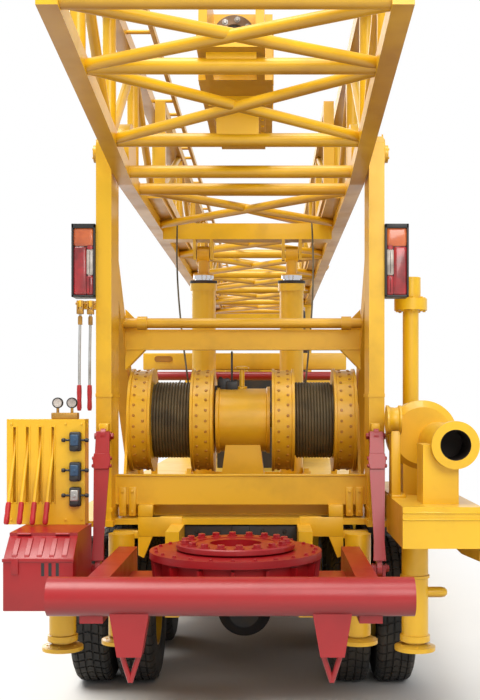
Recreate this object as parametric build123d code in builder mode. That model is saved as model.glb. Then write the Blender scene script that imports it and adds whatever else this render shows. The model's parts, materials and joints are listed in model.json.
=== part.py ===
"""A rotary drilling rig on a three-axle carrier, with its mast lowered for the road. Sizes in millimetres.

+X is the right side seen from behind, +Y points to the cab, +Z is up, and the floor is z = 0.
The origin lies on the floor below the middle of the rig's length.
"""

import math
import os

from build123d import *

os.makedirs("parts", exist_ok=True)

# Fits and running gaps
SEAT = 0.3
PIN_FIT = 0.3
CLEAR = 8

# Mast, lower section
MAST_LENGTH = 15650
FOOT_OVERHANG = 2550
PIVOT_Z = 3890
PIVOT_Y = FOOT_OVERHANG - MAST_LENGTH / 2
MAST_HALF = 845
MAST_CHORD = 100
MAST_DEPTH = 1000
MAST_DROP = 210
FOOT_RISE = 280
CROWN_REACH = 500
BRACE_R = 42
DIAGONAL_R = 32
PIVOT_PIN_R = 60
PIVOT_HUB_R = 200
LOW_Z = PIVOT_Z - MAST_DROP
HIGH_Z = LOW_Z + MAST_DEPTH
INNER_HALF = MAST_HALF - MAST_CHORD
LOWER_END = PIVOT_Y - FOOT_OVERHANG + MAST_LENGTH - CROWN_REACH
FOOT_Y = PIVOT_Y - FOOT_OVERHANG

# Mast, upper section that slides out of the lower one
UPPER_CHORD = 80
UPPER_SIDE_GAP = 45
UPPER_LIFT = 120
UPPER_DEPTH = 740
UPPER_START = PIVOT_Y + 1000
UPPER_HALF = INNER_HALF - UPPER_SIDE_GAP
UPPER_LOW = LOW_Z + UPPER_LIFT
UPPER_END = LOWER_END + CROWN_REACH
UPPER_BRACE_R = 34
UPPER_BAYS = 7
RUNNER_WIDE = 105
RUNNER_LOW = LOW_Z + MAST_CHORD / 2 + 30

# Posts that carry the mast
POST_X = 865
POST_WIDE = 104
POST_DEEP = 340
POST_OUTER = POST_X + POST_WIDE
DECK_Z = 1390
DECK_THICK = 40
DECK_HALF = 1230
DECK_REAR = PIVOT_Y - 190
DECK_FRONT = PIVOT_Y + 9300
LEG_TOP_Z = 3120
LEG_FOOT_Y = PIVOT_Y + 1681

# Chassis
RAIL_X = 385
RAIL_WIDE = 90
RAIL_LOW = 800
RAIL_HIGH = 1100
RAIL_REAR = PIVOT_Y - 460
RAIL_FRONT = PIVOT_Y + 10850
RAIL_WALL = 14

# Wheels
TYRE_R = 560
TYRE_WIDE = 300
RIM_R = 290
DUAL_OUTER_X = 1150
DUAL_INNER_X = 810
STEER_X = 1130
KINGPIN_X = 890
REAR_AXLES = (PIVOT_Y + 1100, PIVOT_Y + 2450)
FRONT_AXLE = PIVOT_Y + 8300

# Drawworks
DRUM_Y = PIVOT_Y + 680
DRUM_Z = 2050
BRAKE_R = 385
DRUM_CORE_R = 150
ROPE_R = 285
SHAFT_R = 60
CASE_X = 200

# Rotary table
TABLE_Y = PIVOT_Y - 1100
TABLE_TOP = 1330
TABLE_R = 500
ROTOR_R = 290
TABLE_BORE_R = 150

# Raising cylinders
CYLINDER_X = 393
TRUNNION = (PIVOT_Y + 2300, 1510)
LIFT_PIN = (PIVOT_Y + 2150, 3500)
BARREL_R = 106
BARREL_TAIL = 40
STAGE_START = 75
ROD_START = 105
STAGE_R = 75
ROD_R = 50
EYE_R = 70
LIFT_PIN_R = 30

# Levelling jacks
JACK_TUBE_R = 85
JACK_LEG_R = 66
JACK_TOP = 1320
JACK_TUBE_LOW = 655
FOOT_THICK = 40
FOOT_R = 130
FOOT_LIFT = 600

# Cab
CAB_REAR = PIVOT_Y + 9450
CAB_FRONT = PIVOT_Y + 10850
CAB_HALF = 1150
CAB_MOUNT = 15
CAB_FLOOR = RAIL_HIGH + CAB_MOUNT
CAB_TOP = 2650
CAB_WALL = 50
DOOR_REAR = CAB_REAR + 240
DOOR_FRONT = CAB_FRONT - 260
DOOR_LOW = CAB_FLOOR + 70
DOOR_HIGH = CAB_TOP - 150
HINGE_X = CAB_HALF + 16
HINGE_Y = DOOR_FRONT + CLEAR / 2
HINGE_PIN_R = 8
HINGE_TALL = 60
EAR_TALL = 24
HINGE_LEVELS = (DOOR_LOW + 220, DOOR_HIGH - 300)

MIN = (Align.CENTER, Align.CENTER, Align.MIN)


def block(low, high, mode=Mode.ADD):
    """A straight block between two opposite corners."""
    size = [b - a for a, b in zip(low, high)]
    with Locations(tuple((a + b) / 2 for a, b in zip(low, high))):
        Box(*size, mode=mode)


def bar(start, end, radius, mode=Mode.ADD):
    """A round bar or bore between two points."""
    run = Vector(*end) - Vector(*start)
    with Locations(Plane(origin=start, z_dir=run)):
        Cylinder(radius, run.length, align=MIN, mode=mode)


def side_plate(x_low, x_high, points, mode=Mode.ADD):
    """A plate between two X planes, with its outline given as (y, z) points."""
    with BuildSketch(Plane.YZ.offset(x_low)) as outline:
        with BuildLine():
            Polyline(*points, close=True)
        make_face()
    extrude(outline.sketch, amount=x_high - x_low, mode=mode)


def turned(axis_start, axis_dir, profile, mode=Mode.ADD):
    """A turned piece: profile is a closed outline of (radius, height along the axis)."""
    frame = Plane(origin=axis_start, z_dir=axis_dir)
    section = Plane(origin=axis_start, x_dir=frame.x_dir, z_dir=-frame.y_dir)
    with BuildSketch(section) as outline:
        with BuildLine():
            Polyline(*profile, close=True)
        make_face()
    revolve(outline.sketch, axis=Axis(axis_start, axis_dir), mode=mode)


def save(piece, name):
    piece.part.label = name
    export_step(piece.part, f"parts/{name}.step")


def mirror_over(piece, name):
    """Writes the left-hand copy of a right-hand piece."""
    with BuildPart() as twin:
        add(mirror(piece.part, about=Plane.YZ))
    save(twin, name)


def low_face(y):
    """Height of the mast's underside, which rises behind the pivot."""
    return LOW_Z + FOOT_RISE * max(0, PIVOT_Y - y) / FOOT_OVERHANG


# The two side trusses of the lower section, with the pivot hubs and pins
SIDE_STATIONS = [PIVOT_Y + s for s in (-1790, -720, 400, 2000, 3800, 5600, 7400, 9200, 10900)]
CHORD_X = MAST_HALF - MAST_CHORD / 2
with BuildPart() as mast_sides:
    with BuildSketch(Plane.YZ.offset(INNER_HALF)):
        with BuildLine():
            Polyline(
                (FOOT_Y, LOW_Z + FOOT_RISE),
                (PIVOT_Y, LOW_Z),
                (LOWER_END, LOW_Z),
                (LOWER_END, HIGH_Z),
                (FOOT_Y, HIGH_Z),
                close=True,
            )
        make_face()
        offset(amount=-MAST_CHORD, kind=Kind.INTERSECTION, mode=Mode.SUBTRACT)
    extrude(amount=MAST_CHORD)
    ends = [FOOT_Y, *SIDE_STATIONS, LOWER_END]
    for number, (near, far) in enumerate(zip(ends, ends[1:])):
        low = (CHORD_X, near, low_face(near) + MAST_CHORD / 2)
        high = (CHORD_X, far, HIGH_Z - MAST_CHORD / 2)
        if number % 2:
            low = (CHORD_X, near, HIGH_Z - MAST_CHORD / 2)
            high = (CHORD_X, far, low_face(far) + MAST_CHORD / 2)
        bar(low, high, DIAGONAL_R)
    for station in SIDE_STATIONS:
        bar((CHORD_X, station, low_face(station) + MAST_CHORD / 2), (CHORD_X, station, HIGH_Z - MAST_CHORD / 2), BRACE_R)
    block((INNER_HALF, FOOT_Y, LOW_Z), (MAST_HALF, LOWER_END, HIGH_Z), mode=Mode.INTERSECT)
    bar((INNER_HALF, PIVOT_Y, PIVOT_Z), (MAST_HALF, PIVOT_Y, PIVOT_Z), PIVOT_HUB_R)
    bar((INNER_HALF, PIVOT_Y, PIVOT_Z), (POST_OUTER + 40, PIVOT_Y, PIVOT_Z), PIVOT_PIN_R)
    mirror(about=Plane.YZ)
save(mast_sides, "mast_sides")

# The flat underside lattice in front of the pivot
LOW_MID = LOW_Z + MAST_CHORD / 2
FACE_STATIONS = [PIVOT_Y + s for s in (400, 3800, 5600, 7400, 9200, 10900)] + [LOWER_END - 60]
LIFT_BEAM_Y = LIFT_PIN[0]
with BuildPart() as mast_bracing:
    for station in FACE_STATIONS:
        bar((-INNER_HALF, station, LOW_MID), (INNER_HALF, station, LOW_MID), BRACE_R)
    bays = [(FACE_STATIONS[0], LIFT_BEAM_Y - 200), (LIFT_BEAM_Y + 200, FACE_STATIONS[1])]
    bays += list(zip(FACE_STATIONS[1:], FACE_STATIONS[2:]))
    for near, far in bays:
        bar((-INNER_HALF - 60, near, LOW_MID + 8), (INNER_HALF + 60, far, LOW_MID + 8), DIAGONAL_R)
        bar((INNER_HALF + 60, near, LOW_MID - 8), (-INNER_HALF - 60, far, LOW_MID - 8), DIAGONAL_R)
    block(
        (-INNER_HALF, FOOT_Y, LOW_Z - MAST_CHORD),
        (INNER_HALF, LOWER_END, LOW_Z + 2 * MAST_CHORD),
        mode=Mode.INTERSECT,
    )
    for side in (-1, 1):
        x_low = min(side * (INNER_HALF - RUNNER_WIDE), side * INNER_HALF)
        block((x_low, UPPER_START - 100, RUNNER_LOW), (x_low + RUNNER_WIDE, LOWER_END, UPPER_LOW - SEAT))
save(mast_bracing, "mast_bracing")

# The rising underside lattice of the foot, with the two saddles that carry the rotary head
FOOT_STATIONS = [FOOT_Y + 60, PIVOT_Y - 1790, PIVOT_Y - 720, PIVOT_Y - 120]
HEAD_LOW = 3990
with BuildPart() as foot_bracing:
    heights = [low_face(y) + MAST_CHORD / 2 for y in FOOT_STATIONS]
    for y, z in zip(FOOT_STATIONS, heights):
        bar((-INNER_HALF, y, z), (INNER_HALF, y, z), BRACE_R)
    spans = list(zip(FOOT_STATIONS, heights))
    for (y0, z0), (y1, z1) in zip(spans[:3], spans[1:3]):
        bar((-INNER_HALF - 60, y0, z0 + 6), (INNER_HALF + 60, y1, z1 + 6), DIAGONAL_R)
        bar((INNER_HALF + 60, y0, z0 - 6), (-INNER_HALF - 60, y1, z1 - 6), DIAGONAL_R)
    block(
        (-INNER_HALF, FOOT_Y, LOW_Z - MAST_CHORD),
        (INNER_HALF, LOWER_END, HIGH_Z),
        mode=Mode.INTERSECT,
    )
    for y, z in spans[1:3]:
        block((-130, y - 30, z), (130, y + 30, HEAD_LOW - SEAT))
save(foot_bracing, "foot_bracing")

# The box beam across the mast that the raising cylinders push, with a pair of lugs each side of both eyes
BEAM_LOW = LOW_Z - 60
BEAM_HIGH = RUNNER_LOW
LUG_GAP = ROD_R + 12
LUG_THICK = 26
with BuildPart() as lift_beam:
    block((-INNER_HALF, LIFT_BEAM_Y - 100, BEAM_LOW), (INNER_HALF, LIFT_BEAM_Y + 100, BEAM_HIGH))
    for side in (-1, 1):
        for face in (-1, 1):
            middle = side * CYLINDER_X + face * (LUG_GAP + LUG_THICK / 2)
            side_plate(
                middle - LUG_THICK / 2,
                middle + LUG_THICK / 2,
                [
                    (LIFT_PIN[0] - 95, BEAM_LOW + 1),
                    (LIFT_PIN[0] - 55, LIFT_PIN[1] - 55),
                    (LIFT_PIN[0] + 55, LIFT_PIN[1] - 55),
                    (LIFT_PIN[0] + 95, BEAM_LOW + 1),
                ],
            )
save(lift_beam, "lift_beam")

# The two side trusses of the upper section
UPPER_HIGH = UPPER_LOW + UPPER_DEPTH
UPPER_CHORD_X = UPPER_HALF - UPPER_CHORD / 2
UPPER_BAY = (UPPER_END - UPPER_START) / UPPER_BAYS
with BuildPart() as upper_sides:
    with BuildSketch(Plane.YZ.offset(UPPER_HALF - UPPER_CHORD)):
        with BuildLine():
            Polyline(
                (UPPER_START, UPPER_LOW),
                (UPPER_END, UPPER_LOW),
                (UPPER_END, UPPER_HIGH),
                (UPPER_START, UPPER_HIGH),
                close=True,
            )
        make_face()
        offset(amount=-UPPER_CHORD, kind=Kind.INTERSECTION, mode=Mode.SUBTRACT)
    extrude(amount=UPPER_CHORD)
    for bay in range(UPPER_BAYS):
        near, far = UPPER_START + bay * UPPER_BAY, UPPER_START + (bay + 1) * UPPER_BAY
        low, high = UPPER_LOW + UPPER_CHORD / 2, UPPER_HIGH - UPPER_CHORD / 2
        if bay % 2:
            low, high = high, low
        bar((UPPER_CHORD_X, near, low), (UPPER_CHORD_X, far, high), DIAGONAL_R - 6)
        if bay:
            bar(
                (UPPER_CHORD_X, near, UPPER_LOW + UPPER_CHORD / 2),
                (UPPER_CHORD_X, near, UPPER_HIGH - UPPER_CHORD / 2),
                UPPER_BRACE_R - 4,
            )
    block(
        (UPPER_HALF - UPPER_CHORD, UPPER_START, UPPER_LOW),
        (UPPER_HALF, UPPER_END, UPPER_HIGH),
        mode=Mode.INTERSECT,
    )
    mirror(about=Plane.YZ)
save(upper_sides, "upper_sides")

UPPER_INNER = UPPER_HALF - UPPER_CHORD
UPPER_MID = UPPER_LOW + UPPER_CHORD / 2
with BuildPart() as upper_bracing:
    for bay in range(UPPER_BAYS + 1):
        y = min(max(UPPER_START + bay * UPPER_BAY, UPPER_START + 40), UPPER_END - 40)
        bar((-UPPER_INNER, y, UPPER_MID), (UPPER_INNER, y, UPPER_MID), UPPER_BRACE_R)
    for bay in range(UPPER_BAYS):
        near, far = UPPER_START + bay * UPPER_BAY, UPPER_START + (bay + 1) * UPPER_BAY
        if bay % 2:
            near, far = far, near
        bar((-UPPER_INNER - 50, near, UPPER_MID), (UPPER_INNER + 50, far, UPPER_MID), DIAGONAL_R - 8)
    block(
        (-UPPER_INNER, UPPER_START, UPPER_LOW - UPPER_CHORD),
        (UPPER_INNER, UPPER_END, UPPER_LOW + 2 * UPPER_CHORD),
        mode=Mode.INTERSECT,
    )
save(upper_bracing, "upper_bracing")

# The crown: two plates across the end of the upper section, with five rope sheaves on one shaft
SHEAVE_R = 230
SHEAVE_Y = UPPER_END - 300
SHEAVE_Z = UPPER_HIGH - 120
with BuildPart() as crown_block:
    block((-UPPER_INNER, UPPER_END - 560, UPPER_HIGH - UPPER_CHORD), (UPPER_INNER, UPPER_END - 500, UPPER_HIGH))
    block((-UPPER_INNER, UPPER_END - 60, UPPER_HIGH - 300), (UPPER_INNER, UPPER_END, UPPER_HIGH))
    bar((-UPPER_INNER, SHEAVE_Y, SHEAVE_Z), (UPPER_INNER, SHEAVE_Y, SHEAVE_Z), 40)
    for number in range(5):
        x = (number - 2) * 170
        profile = [(20, -35), (SHEAVE_R, -35), (SHEAVE_R, -25), (SHEAVE_R - 35, -8)]
        profile += [(r, -h) for r, h in reversed(profile)]
        turned((x, SHEAVE_Y, SHEAVE_Z), (1, 0, 0), profile)
save(crown_block, "crown_block")

# The rotary head that lies in the mast foot: body, two guide arms and the spindle flange
HEAD_REAR = PIVOT_Y - 1150
HEAD_FRONT = PIVOT_Y + 780
HEAD_HALF = 215
HEAD_TOP = 4430
SPINDLE_Z = (HEAD_LOW + HEAD_TOP) / 2 + 20
with BuildPart() as rotary_head:
    block((-HEAD_HALF, HEAD_REAR, HEAD_LOW + 60), (HEAD_HALF, HEAD_FRONT - 500, HEAD_TOP))
    block((-HEAD_HALF + 50, HEAD_FRONT - 500, HEAD_LOW + 120), (HEAD_HALF - 50, HEAD_FRONT, HEAD_TOP - 60))
    for side in (-1, 1):
        x_low = min(side * 170, side * 125)
        side_plate(
            x_low,
            x_low + 45,
            [
                (HEAD_REAR - 550, HEAD_TOP),
                (HEAD_REAR - 650, HEAD_TOP - 100),
                (HEAD_REAR - 650, HEAD_LOW + 60),
                (HEAD_REAR + 10, HEAD_LOW + 60),
                (HEAD_REAR + 10, HEAD_TOP),
            ],
        )
    for y in FOOT_STATIONS[1:3]:
        block((-HEAD_HALF + 40, y - 110, HEAD_LOW), (HEAD_HALF - 40, y + 110, HEAD_LOW + 60))
    bar((0, HEAD_REAR + 10, SPINDLE_Z), (0, HEAD_REAR - 160, SPINDLE_Z), 90)
    bar((0, HEAD_REAR - 160, SPINDLE_Z), (0, HEAD_REAR - 205, SPINDLE_Z), 122)
    bar((0, HEAD_REAR - 205, SPINDLE_Z), (0, HEAD_REAR - 120, SPINDLE_Z), 45, mode=Mode.SUBTRACT)
save(rotary_head, "rotary_head")

# Posts, front legs, cross tube, box beam and deck beam
BEAM_BACK = PIVOT_Y + 20
TUBE_Y = PIVOT_Y + 430
TUBE_Z = LEG_TOP_Z - (TUBE_Y - PIVOT_Y - 100) * (LEG_TOP_Z - DECK_Z) / (LEG_FOOT_Y - PIVOT_Y - 100)
with BuildPart() as mast_stand:
    block((POST_X, PIVOT_Y - POST_DEEP / 2, DECK_Z), (POST_OUTER, PIVOT_Y + POST_DEEP / 2, PIVOT_Z - 100))
    side_plate(
        POST_X,
        POST_OUTER,
        [
            (PIVOT_Y - POST_DEEP / 2, PIVOT_Z - 101),
            (PIVOT_Y - POST_DEEP / 2, PIVOT_Z + 40),
            (PIVOT_Y - 90, PIVOT_Z + 100),
            (PIVOT_Y + 90, PIVOT_Z + 100),
            (PIVOT_Y + POST_DEEP / 2, PIVOT_Z + 40),
            (PIVOT_Y + POST_DEEP / 2, PIVOT_Z - 101),
        ],
    )
    side_plate(
        POST_X,
        POST_OUTER,
        [
            (PIVOT_Y + 100, LEG_TOP_Z + 140),
            (PIVOT_Y + 100, LEG_TOP_Z - 140),
            (LEG_FOOT_Y - 120, DECK_Z),
            (LEG_FOOT_Y + 140, DECK_Z),
        ],
    )
    bar((POST_X - 10, PIVOT_Y, PIVOT_Z), (POST_OUTER + 10, PIVOT_Y, PIVOT_Z), PIVOT_PIN_R + PIN_FIT, mode=Mode.SUBTRACT)
    for level in (LEG_TOP_Z - 900, DECK_Z + 60):
        block((POST_X - 6, PIVOT_Y - POST_DEEP / 2 - 6, level), (POST_OUTER + 2, PIVOT_Y + POST_DEEP / 2 + 6, level + 24))
    mirror(about=Plane.YZ)
    bar((-POST_X - 5, TUBE_Y, TUBE_Z), (POST_X + 5, TUBE_Y, TUBE_Z), 37)
    for x in (-730, 755):
        bar((x - 35, TUBE_Y, TUBE_Z), (x + 35, TUBE_Y, TUBE_Z), 50)
    block((-POST_X - 5, PIVOT_Y + 510, 2570), (POST_X + 5, PIVOT_Y + 610, 2720))
    block((-POST_X - 5, BEAM_BACK, 1480), (POST_X + 5, BEAM_BACK + 150, 1680))
save(mast_stand, "mast_stand")

# Chassis rails with cross members, the jack beam and the jack tubes
OUTER_JACK = (1130, PIVOT_Y - 480)
INNER_JACK = (780, PIVOT_Y - 290)
FRONT_JACK = (1090, PIVOT_Y + 6400)
JACKS = {"rear_outer": OUTER_JACK, "rear_inner": INNER_JACK, "front": FRONT_JACK}
JACK_BEAM = (PIVOT_Y - 560, PIVOT_Y - 400)
RAIL_OUT = RAIL_X + RAIL_WIDE
with BuildPart() as chassis:
    with BuildSketch(Plane.XZ.offset(-RAIL_REAR)):
        with Locations((RAIL_X + RAIL_WIDE / 2, (RAIL_LOW + RAIL_HIGH) / 2)):
            Rectangle(RAIL_WIDE, RAIL_HIGH - RAIL_LOW)
        with Locations((RAIL_X + RAIL_WIDE / 2 - RAIL_WALL, (RAIL_LOW + RAIL_HIGH) / 2)):
            Rectangle(RAIL_WIDE, RAIL_HIGH - RAIL_LOW - 2 * RAIL_WALL, mode=Mode.SUBTRACT)
    extrude(amount=RAIL_REAR - RAIL_FRONT)
    block((RAIL_X, RAIL_REAR, RAIL_HIGH), (RAIL_OUT, DECK_FRONT, DECK_Z - DECK_THICK))
    block((0, JACK_BEAM[0], 900), (OUTER_JACK[0] - 30, JACK_BEAM[1], 1050))
    block((0, INNER_JACK[1] - 45, 900), (INNER_JACK[0] - 30, INNER_JACK[1] + 45, 1050))
    block((0, FRONT_JACK[1] - 70, 900), (FRONT_JACK[0] - 30, FRONT_JACK[1] + 70, 1050))
    for y in (PIVOT_Y + 1700, PIVOT_Y + 3400, PIVOT_Y + 5000, PIVOT_Y + 7500, PIVOT_Y + 9300, RAIL_FRONT - 120):
        block((0, y, RAIL_LOW + 60), (RAIL_X + RAIL_WIDE - RAIL_WALL, y + 120, RAIL_HIGH - 40))
    for x, y in JACKS.values():
        bar((x, y, JACK_TUBE_LOW), (x, y, JACK_TOP), JACK_TUBE_R)
        bar((x, y, JACK_TUBE_LOW - 1), (x, y, JACK_TOP - 20), JACK_LEG_R + PIN_FIT, mode=Mode.SUBTRACT)
    for y in (CAB_REAR + 120, CAB_FRONT - 260):
        block((RAIL_X, y, RAIL_HIGH - 1), (RAIL_OUT, y + 120, CAB_FLOOR - SEAT))
    mirror(about=Plane.YZ)
save(chassis, "chassis")

with BuildPart() as jack_leg:
    bar((0, 0, FOOT_LIFT + FOOT_THICK), (0, 0, JACK_TOP - 30), JACK_LEG_R)
    turned((0, 0, FOOT_LIFT), (0, 0, 1), [(0, 0), (FOOT_R, 0), (FOOT_R, 25), (JACK_LEG_R, FOOT_THICK), (0, FOOT_THICK)])
    bar((0, 0, FOOT_LIFT + FOOT_THICK - 1), (0, 0, FOOT_LIFT + FOOT_THICK + 1), JACK_LEG_R)
for place, (x, y) in JACKS.items():
    for side, sign in (("left", -1), ("right", 1)):
        with BuildPart() as jack:
            with Locations((sign * x, y, 0)):
                add(jack_leg.part)
        save(jack, f"jack_{place}_{side}")

# Deck plate, the side box on the right and the trunnion brackets of the raising cylinders
SIDE_BOX_LOW = 1325
SIDE_BOX_TOP = 1570
TRUNNION_R = 50
BRACKET_X = CYLINDER_X + BARREL_R + 30
with BuildPart() as deck:
    block((-DECK_HALF, DECK_REAR, DECK_Z - DECK_THICK), (DECK_HALF, DECK_FRONT, DECK_Z))
    block(
        (-MAST_HALF - CLEAR, DECK_REAR - 1, DECK_Z - DECK_THICK - 1),
        (MAST_HALF + CLEAR, PIVOT_Y + MAST_DROP - FOOT_RISE + 2 * CLEAR, DECK_Z + 1),
        mode=Mode.SUBTRACT,
    )
    for side in (-1, 1):
        x_low = min(side * (DECK_HALF - 40), side * DECK_HALF)
        block((x_low, DECK_REAR, DECK_Z - 150), (x_low + 40, DECK_FRONT, DECK_Z - DECK_THICK + 1))
        x = side * BRACKET_X - 20
        side_plate(
            x,
            x + 40,
            [
                (TRUNNION[0] - 150, DECK_Z),
                (TRUNNION[0] - 75, TRUNNION[1] + 75),
                (TRUNNION[0] + 75, TRUNNION[1] + 75),
                (TRUNNION[0] + 150, DECK_Z),
            ],
        )
    bar(
        (-BRACKET_X - 50, TRUNNION[0], TRUNNION[1]),
        (BRACKET_X + 50, TRUNNION[0], TRUNNION[1]),
        TRUNNION_R + PIN_FIT,
        mode=Mode.SUBTRACT,
    )
save(deck, "deck")

# The box along the right side that carries the pump and the pipe column
with BuildPart() as side_box:
    block((980, PIVOT_Y - 1050, SIDE_BOX_LOW), (1450, PIVOT_Y - POST_DEEP / 2 - 30, SIDE_BOX_TOP))
    block((1000, PIVOT_Y - POST_DEEP / 2 - 31, DECK_Z), (1450, PIVOT_Y + 900, SIDE_BOX_TOP))
save(side_box, "side_box")

# Raising cylinders: barrels on one trunnion shaft, stages on one collar bar, rods with their eyes
LIFT_RUN = Vector(0, LIFT_PIN[0] - TRUNNION[0], LIFT_PIN[1] - TRUNNION[1])
LIFT_DIR = LIFT_RUN.normalized()
BARREL_LONG = LIFT_RUN.length - 235


def along_lift(x, distance):
    """A point on a cylinder's axis, at a distance from its trunnion."""
    return (x, TRUNNION[0] + LIFT_DIR.Y * distance, TRUNNION[1] + LIFT_DIR.Z * distance)


with BuildPart() as lift_barrels:
    for x in (-CYLINDER_X, CYLINDER_X):
        bar(along_lift(x, -BARREL_TAIL), along_lift(x, BARREL_LONG), BARREL_R)
        bar(along_lift(x, BARREL_LONG - 90), along_lift(x, BARREL_LONG), BARREL_R + 14)
        bar(along_lift(x, STAGE_START - 10), along_lift(x, BARREL_LONG + 10), STAGE_R + PIN_FIT, mode=Mode.SUBTRACT)
    bar(
        (-BRACKET_X - 40, TRUNNION[0], TRUNNION[1]),
        (-CYLINDER_X - STAGE_R - 10, TRUNNION[0], TRUNNION[1]),
        TRUNNION_R,
    )
    bar(
        (CYLINDER_X + STAGE_R + 10, TRUNNION[0], TRUNNION[1]),
        (BRACKET_X + 40, TRUNNION[0], TRUNNION[1]),
        TRUNNION_R,
    )
    block(
        (-CYLINDER_X + STAGE_R + 10, TRUNNION[0] - 40, TRUNNION[1] - 40),
        (CYLINDER_X - STAGE_R - 10, TRUNNION[0] + 40, TRUNNION[1] + 40),
    )
save(lift_barrels, "lift_barrels")

STAGE_END = BARREL_LONG + 60
with BuildPart() as lift_stages:
    for x in (-CYLINDER_X, CYLINDER_X):
        bar(along_lift(x, STAGE_START), along_lift(x, STAGE_END), STAGE_R)
        bar(along_lift(x, STAGE_END - 45), along_lift(x, STAGE_END), STAGE_R + 16)
        bar(along_lift(x, ROD_START - 15), along_lift(x, STAGE_END + 10), ROD_R + PIN_FIT, mode=Mode.SUBTRACT)
save(lift_stages, "lift_stages")

EYE_HALF = LUG_GAP - CLEAR
with BuildPart() as lift_rods:
    for x in (-CYLINDER_X, CYLINDER_X):
        bar(along_lift(x, ROD_START), along_lift(x, LIFT_RUN.length - EYE_R + 15), ROD_R)
        eye = along_lift(x, LIFT_RUN.length)
        bar((x - EYE_HALF, eye[1], eye[2]), (x + EYE_HALF, eye[1], eye[2]), EYE_R)
        bar((x - EYE_HALF - 5, eye[1], eye[2]), (x + EYE_HALF + 5, eye[1], eye[2]), LIFT_PIN_R, mode=Mode.SUBTRACT)
save(lift_rods, "lift_rods")

# Drawworks: skid, centre case on its pedestal, end plates and the fixed shaft
SKID_HIGH = 1560
with BuildPart() as drawworks_frame:
    for y in (PIVOT_Y + 230, PIVOT_Y + 1050):
        block((-855, y, DECK_Z), (855, y + 120, SKID_HIGH))
    for x in (-855, -180, 60, 735):
        block((x, PIVOT_Y + 230, DECK_Z), (x + 120, PIVOT_Y + 1170, SKID_HIGH))
    for side in (-1, 1):
        x_low = min(side * 838, side * 858)
        side_plate(
            x_low,
            x_low + 20,
            [
                (PIVOT_Y + 300, SKID_HIGH - 60),
                (DRUM_Y - 130, DRUM_Z + 100),
                (DRUM_Y, DRUM_Z + 150),
                (DRUM_Y + 130, DRUM_Z + 100),
                (PIVOT_Y + 1100, SKID_HIGH - 60),
            ],
        )
    bar((-858, DRUM_Y, DRUM_Z), (858, DRUM_Y, DRUM_Z), SHAFT_R)
    turned(
        (-CASE_X, DRUM_Y, DRUM_Z),
        (1, 0, 0),
        [(0, 0), (250, 0), (250, 22), (236, 30), (236, 2 * CASE_X - 30), (250, 2 * CASE_X - 22), (250, 2 * CASE_X), (0, 2 * CASE_X)],
    )
    with BuildSketch(Plane.XZ.offset(-DRUM_Y + 150)) as pedestal:
        with BuildLine():
            Polyline((-170, SKID_HIGH - 20), (170, SKID_HIGH - 20), (120, DRUM_Z - 120), (-120, DRUM_Z - 120), close=True)
        make_face()
    extrude(pedestal.sketch, amount=-300)
save(drawworks_frame, "drawworks_frame")

DRUM_INNER = CASE_X + 14
DRUM_OUTER = 830
RIM_WIDE = 165
with BuildPart() as drum_right:
    turned(
        (DRUM_INNER, DRUM_Y, DRUM_Z),
        (1, 0, 0),
        [
            (SHAFT_R + PIN_FIT, 0),
            (BRAKE_R, 0),
            (BRAKE_R, 18),
            (BRAKE_R - 14, 22),
            (BRAKE_R - 14, RIM_WIDE - 22),
            (BRAKE_R, RIM_WIDE - 18),
            (BRAKE_R, RIM_WIDE),
            (DRUM_CORE_R, RIM_WIDE),
            (DRUM_CORE_R, DRUM_OUTER - DRUM_INNER - RIM_WIDE),
            (BRAKE_R, DRUM_OUTER - DRUM_INNER - RIM_WIDE),
            (BRAKE_R, DRUM_OUTER - DRUM_INNER - RIM_WIDE + 18),
            (BRAKE_R - 14, DRUM_OUTER - DRUM_INNER - RIM_WIDE + 22),
            (BRAKE_R - 14, DRUM_OUTER - DRUM_INNER - 22),
            (BRAKE_R, DRUM_OUTER - DRUM_INNER - 18),
            (BRAKE_R, DRUM_OUTER - DRUM_INNER),
            (SHAFT_R + PIN_FIT, DRUM_OUTER - DRUM_INNER),
        ],
    )
save(drum_right, "drum_right")
mirror_over(drum_right, "drum_left")

with BuildPart() as rope_right:
    turned(
        (DRUM_INNER + RIM_WIDE, DRUM_Y, DRUM_Z),
        (1, 0, 0),
        [
            (DRUM_CORE_R, 0),
            (ROPE_R - 8, 0),
            (ROPE_R, 20),
            (ROPE_R, DRUM_OUTER - DRUM_INNER - 2 * RIM_WIDE - 20),
            (ROPE_R - 8, DRUM_OUTER - DRUM_INNER - 2 * RIM_WIDE),
            (DRUM_CORE_R, DRUM_OUTER - DRUM_INNER - 2 * RIM_WIDE),
        ],
    )
save(rope_right, "rope_right")
mirror_over(rope_right, "rope_left")

# Rear frame: cross tube, side arms, table bed, step brackets, side links and tool box
CROSS_TUBE_R = 100
CROSS_TUBE_Y = PIVOT_Y - 1820
CROSS_TUBE_Z = 1190
ARM_X = 720
LINK_X = 900
with BuildPart() as rotary_frame:
    bar((0, CROSS_TUBE_Y, CROSS_TUBE_Z), (940, CROSS_TUBE_Y, CROSS_TUBE_Z), CROSS_TUBE_R)
    block((ARM_X - 60, CROSS_TUBE_Y, 1050), (ARM_X + 60, JACK_BEAM[1] - 10, 1250))
    block((0, TABLE_Y - 460, 1050), (ARM_X, TABLE_Y + 460, 1130))
    with BuildSketch(Plane.XZ.offset(60 - CROSS_TUBE_Y)) as step:
        with BuildLine():
            Polyline((416, 1120), (620, 1120), (580, 890), (456, 890), close=True)
        make_face()
    extrude(step.sketch, amount=-120)
    bar((470, CROSS_TUBE_Y, 900), (518, CROSS_TUBE_Y, 750), 14)
    bar((566, CROSS_TUBE_Y, 900), (518, CROSS_TUBE_Y, 750), 14)
    mirror(about=Plane.YZ)
    bar((0, TABLE_Y, 1040), (0, TABLE_Y, 1140), 225, mode=Mode.SUBTRACT)
save(rotary_frame, "rotary_frame")

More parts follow.
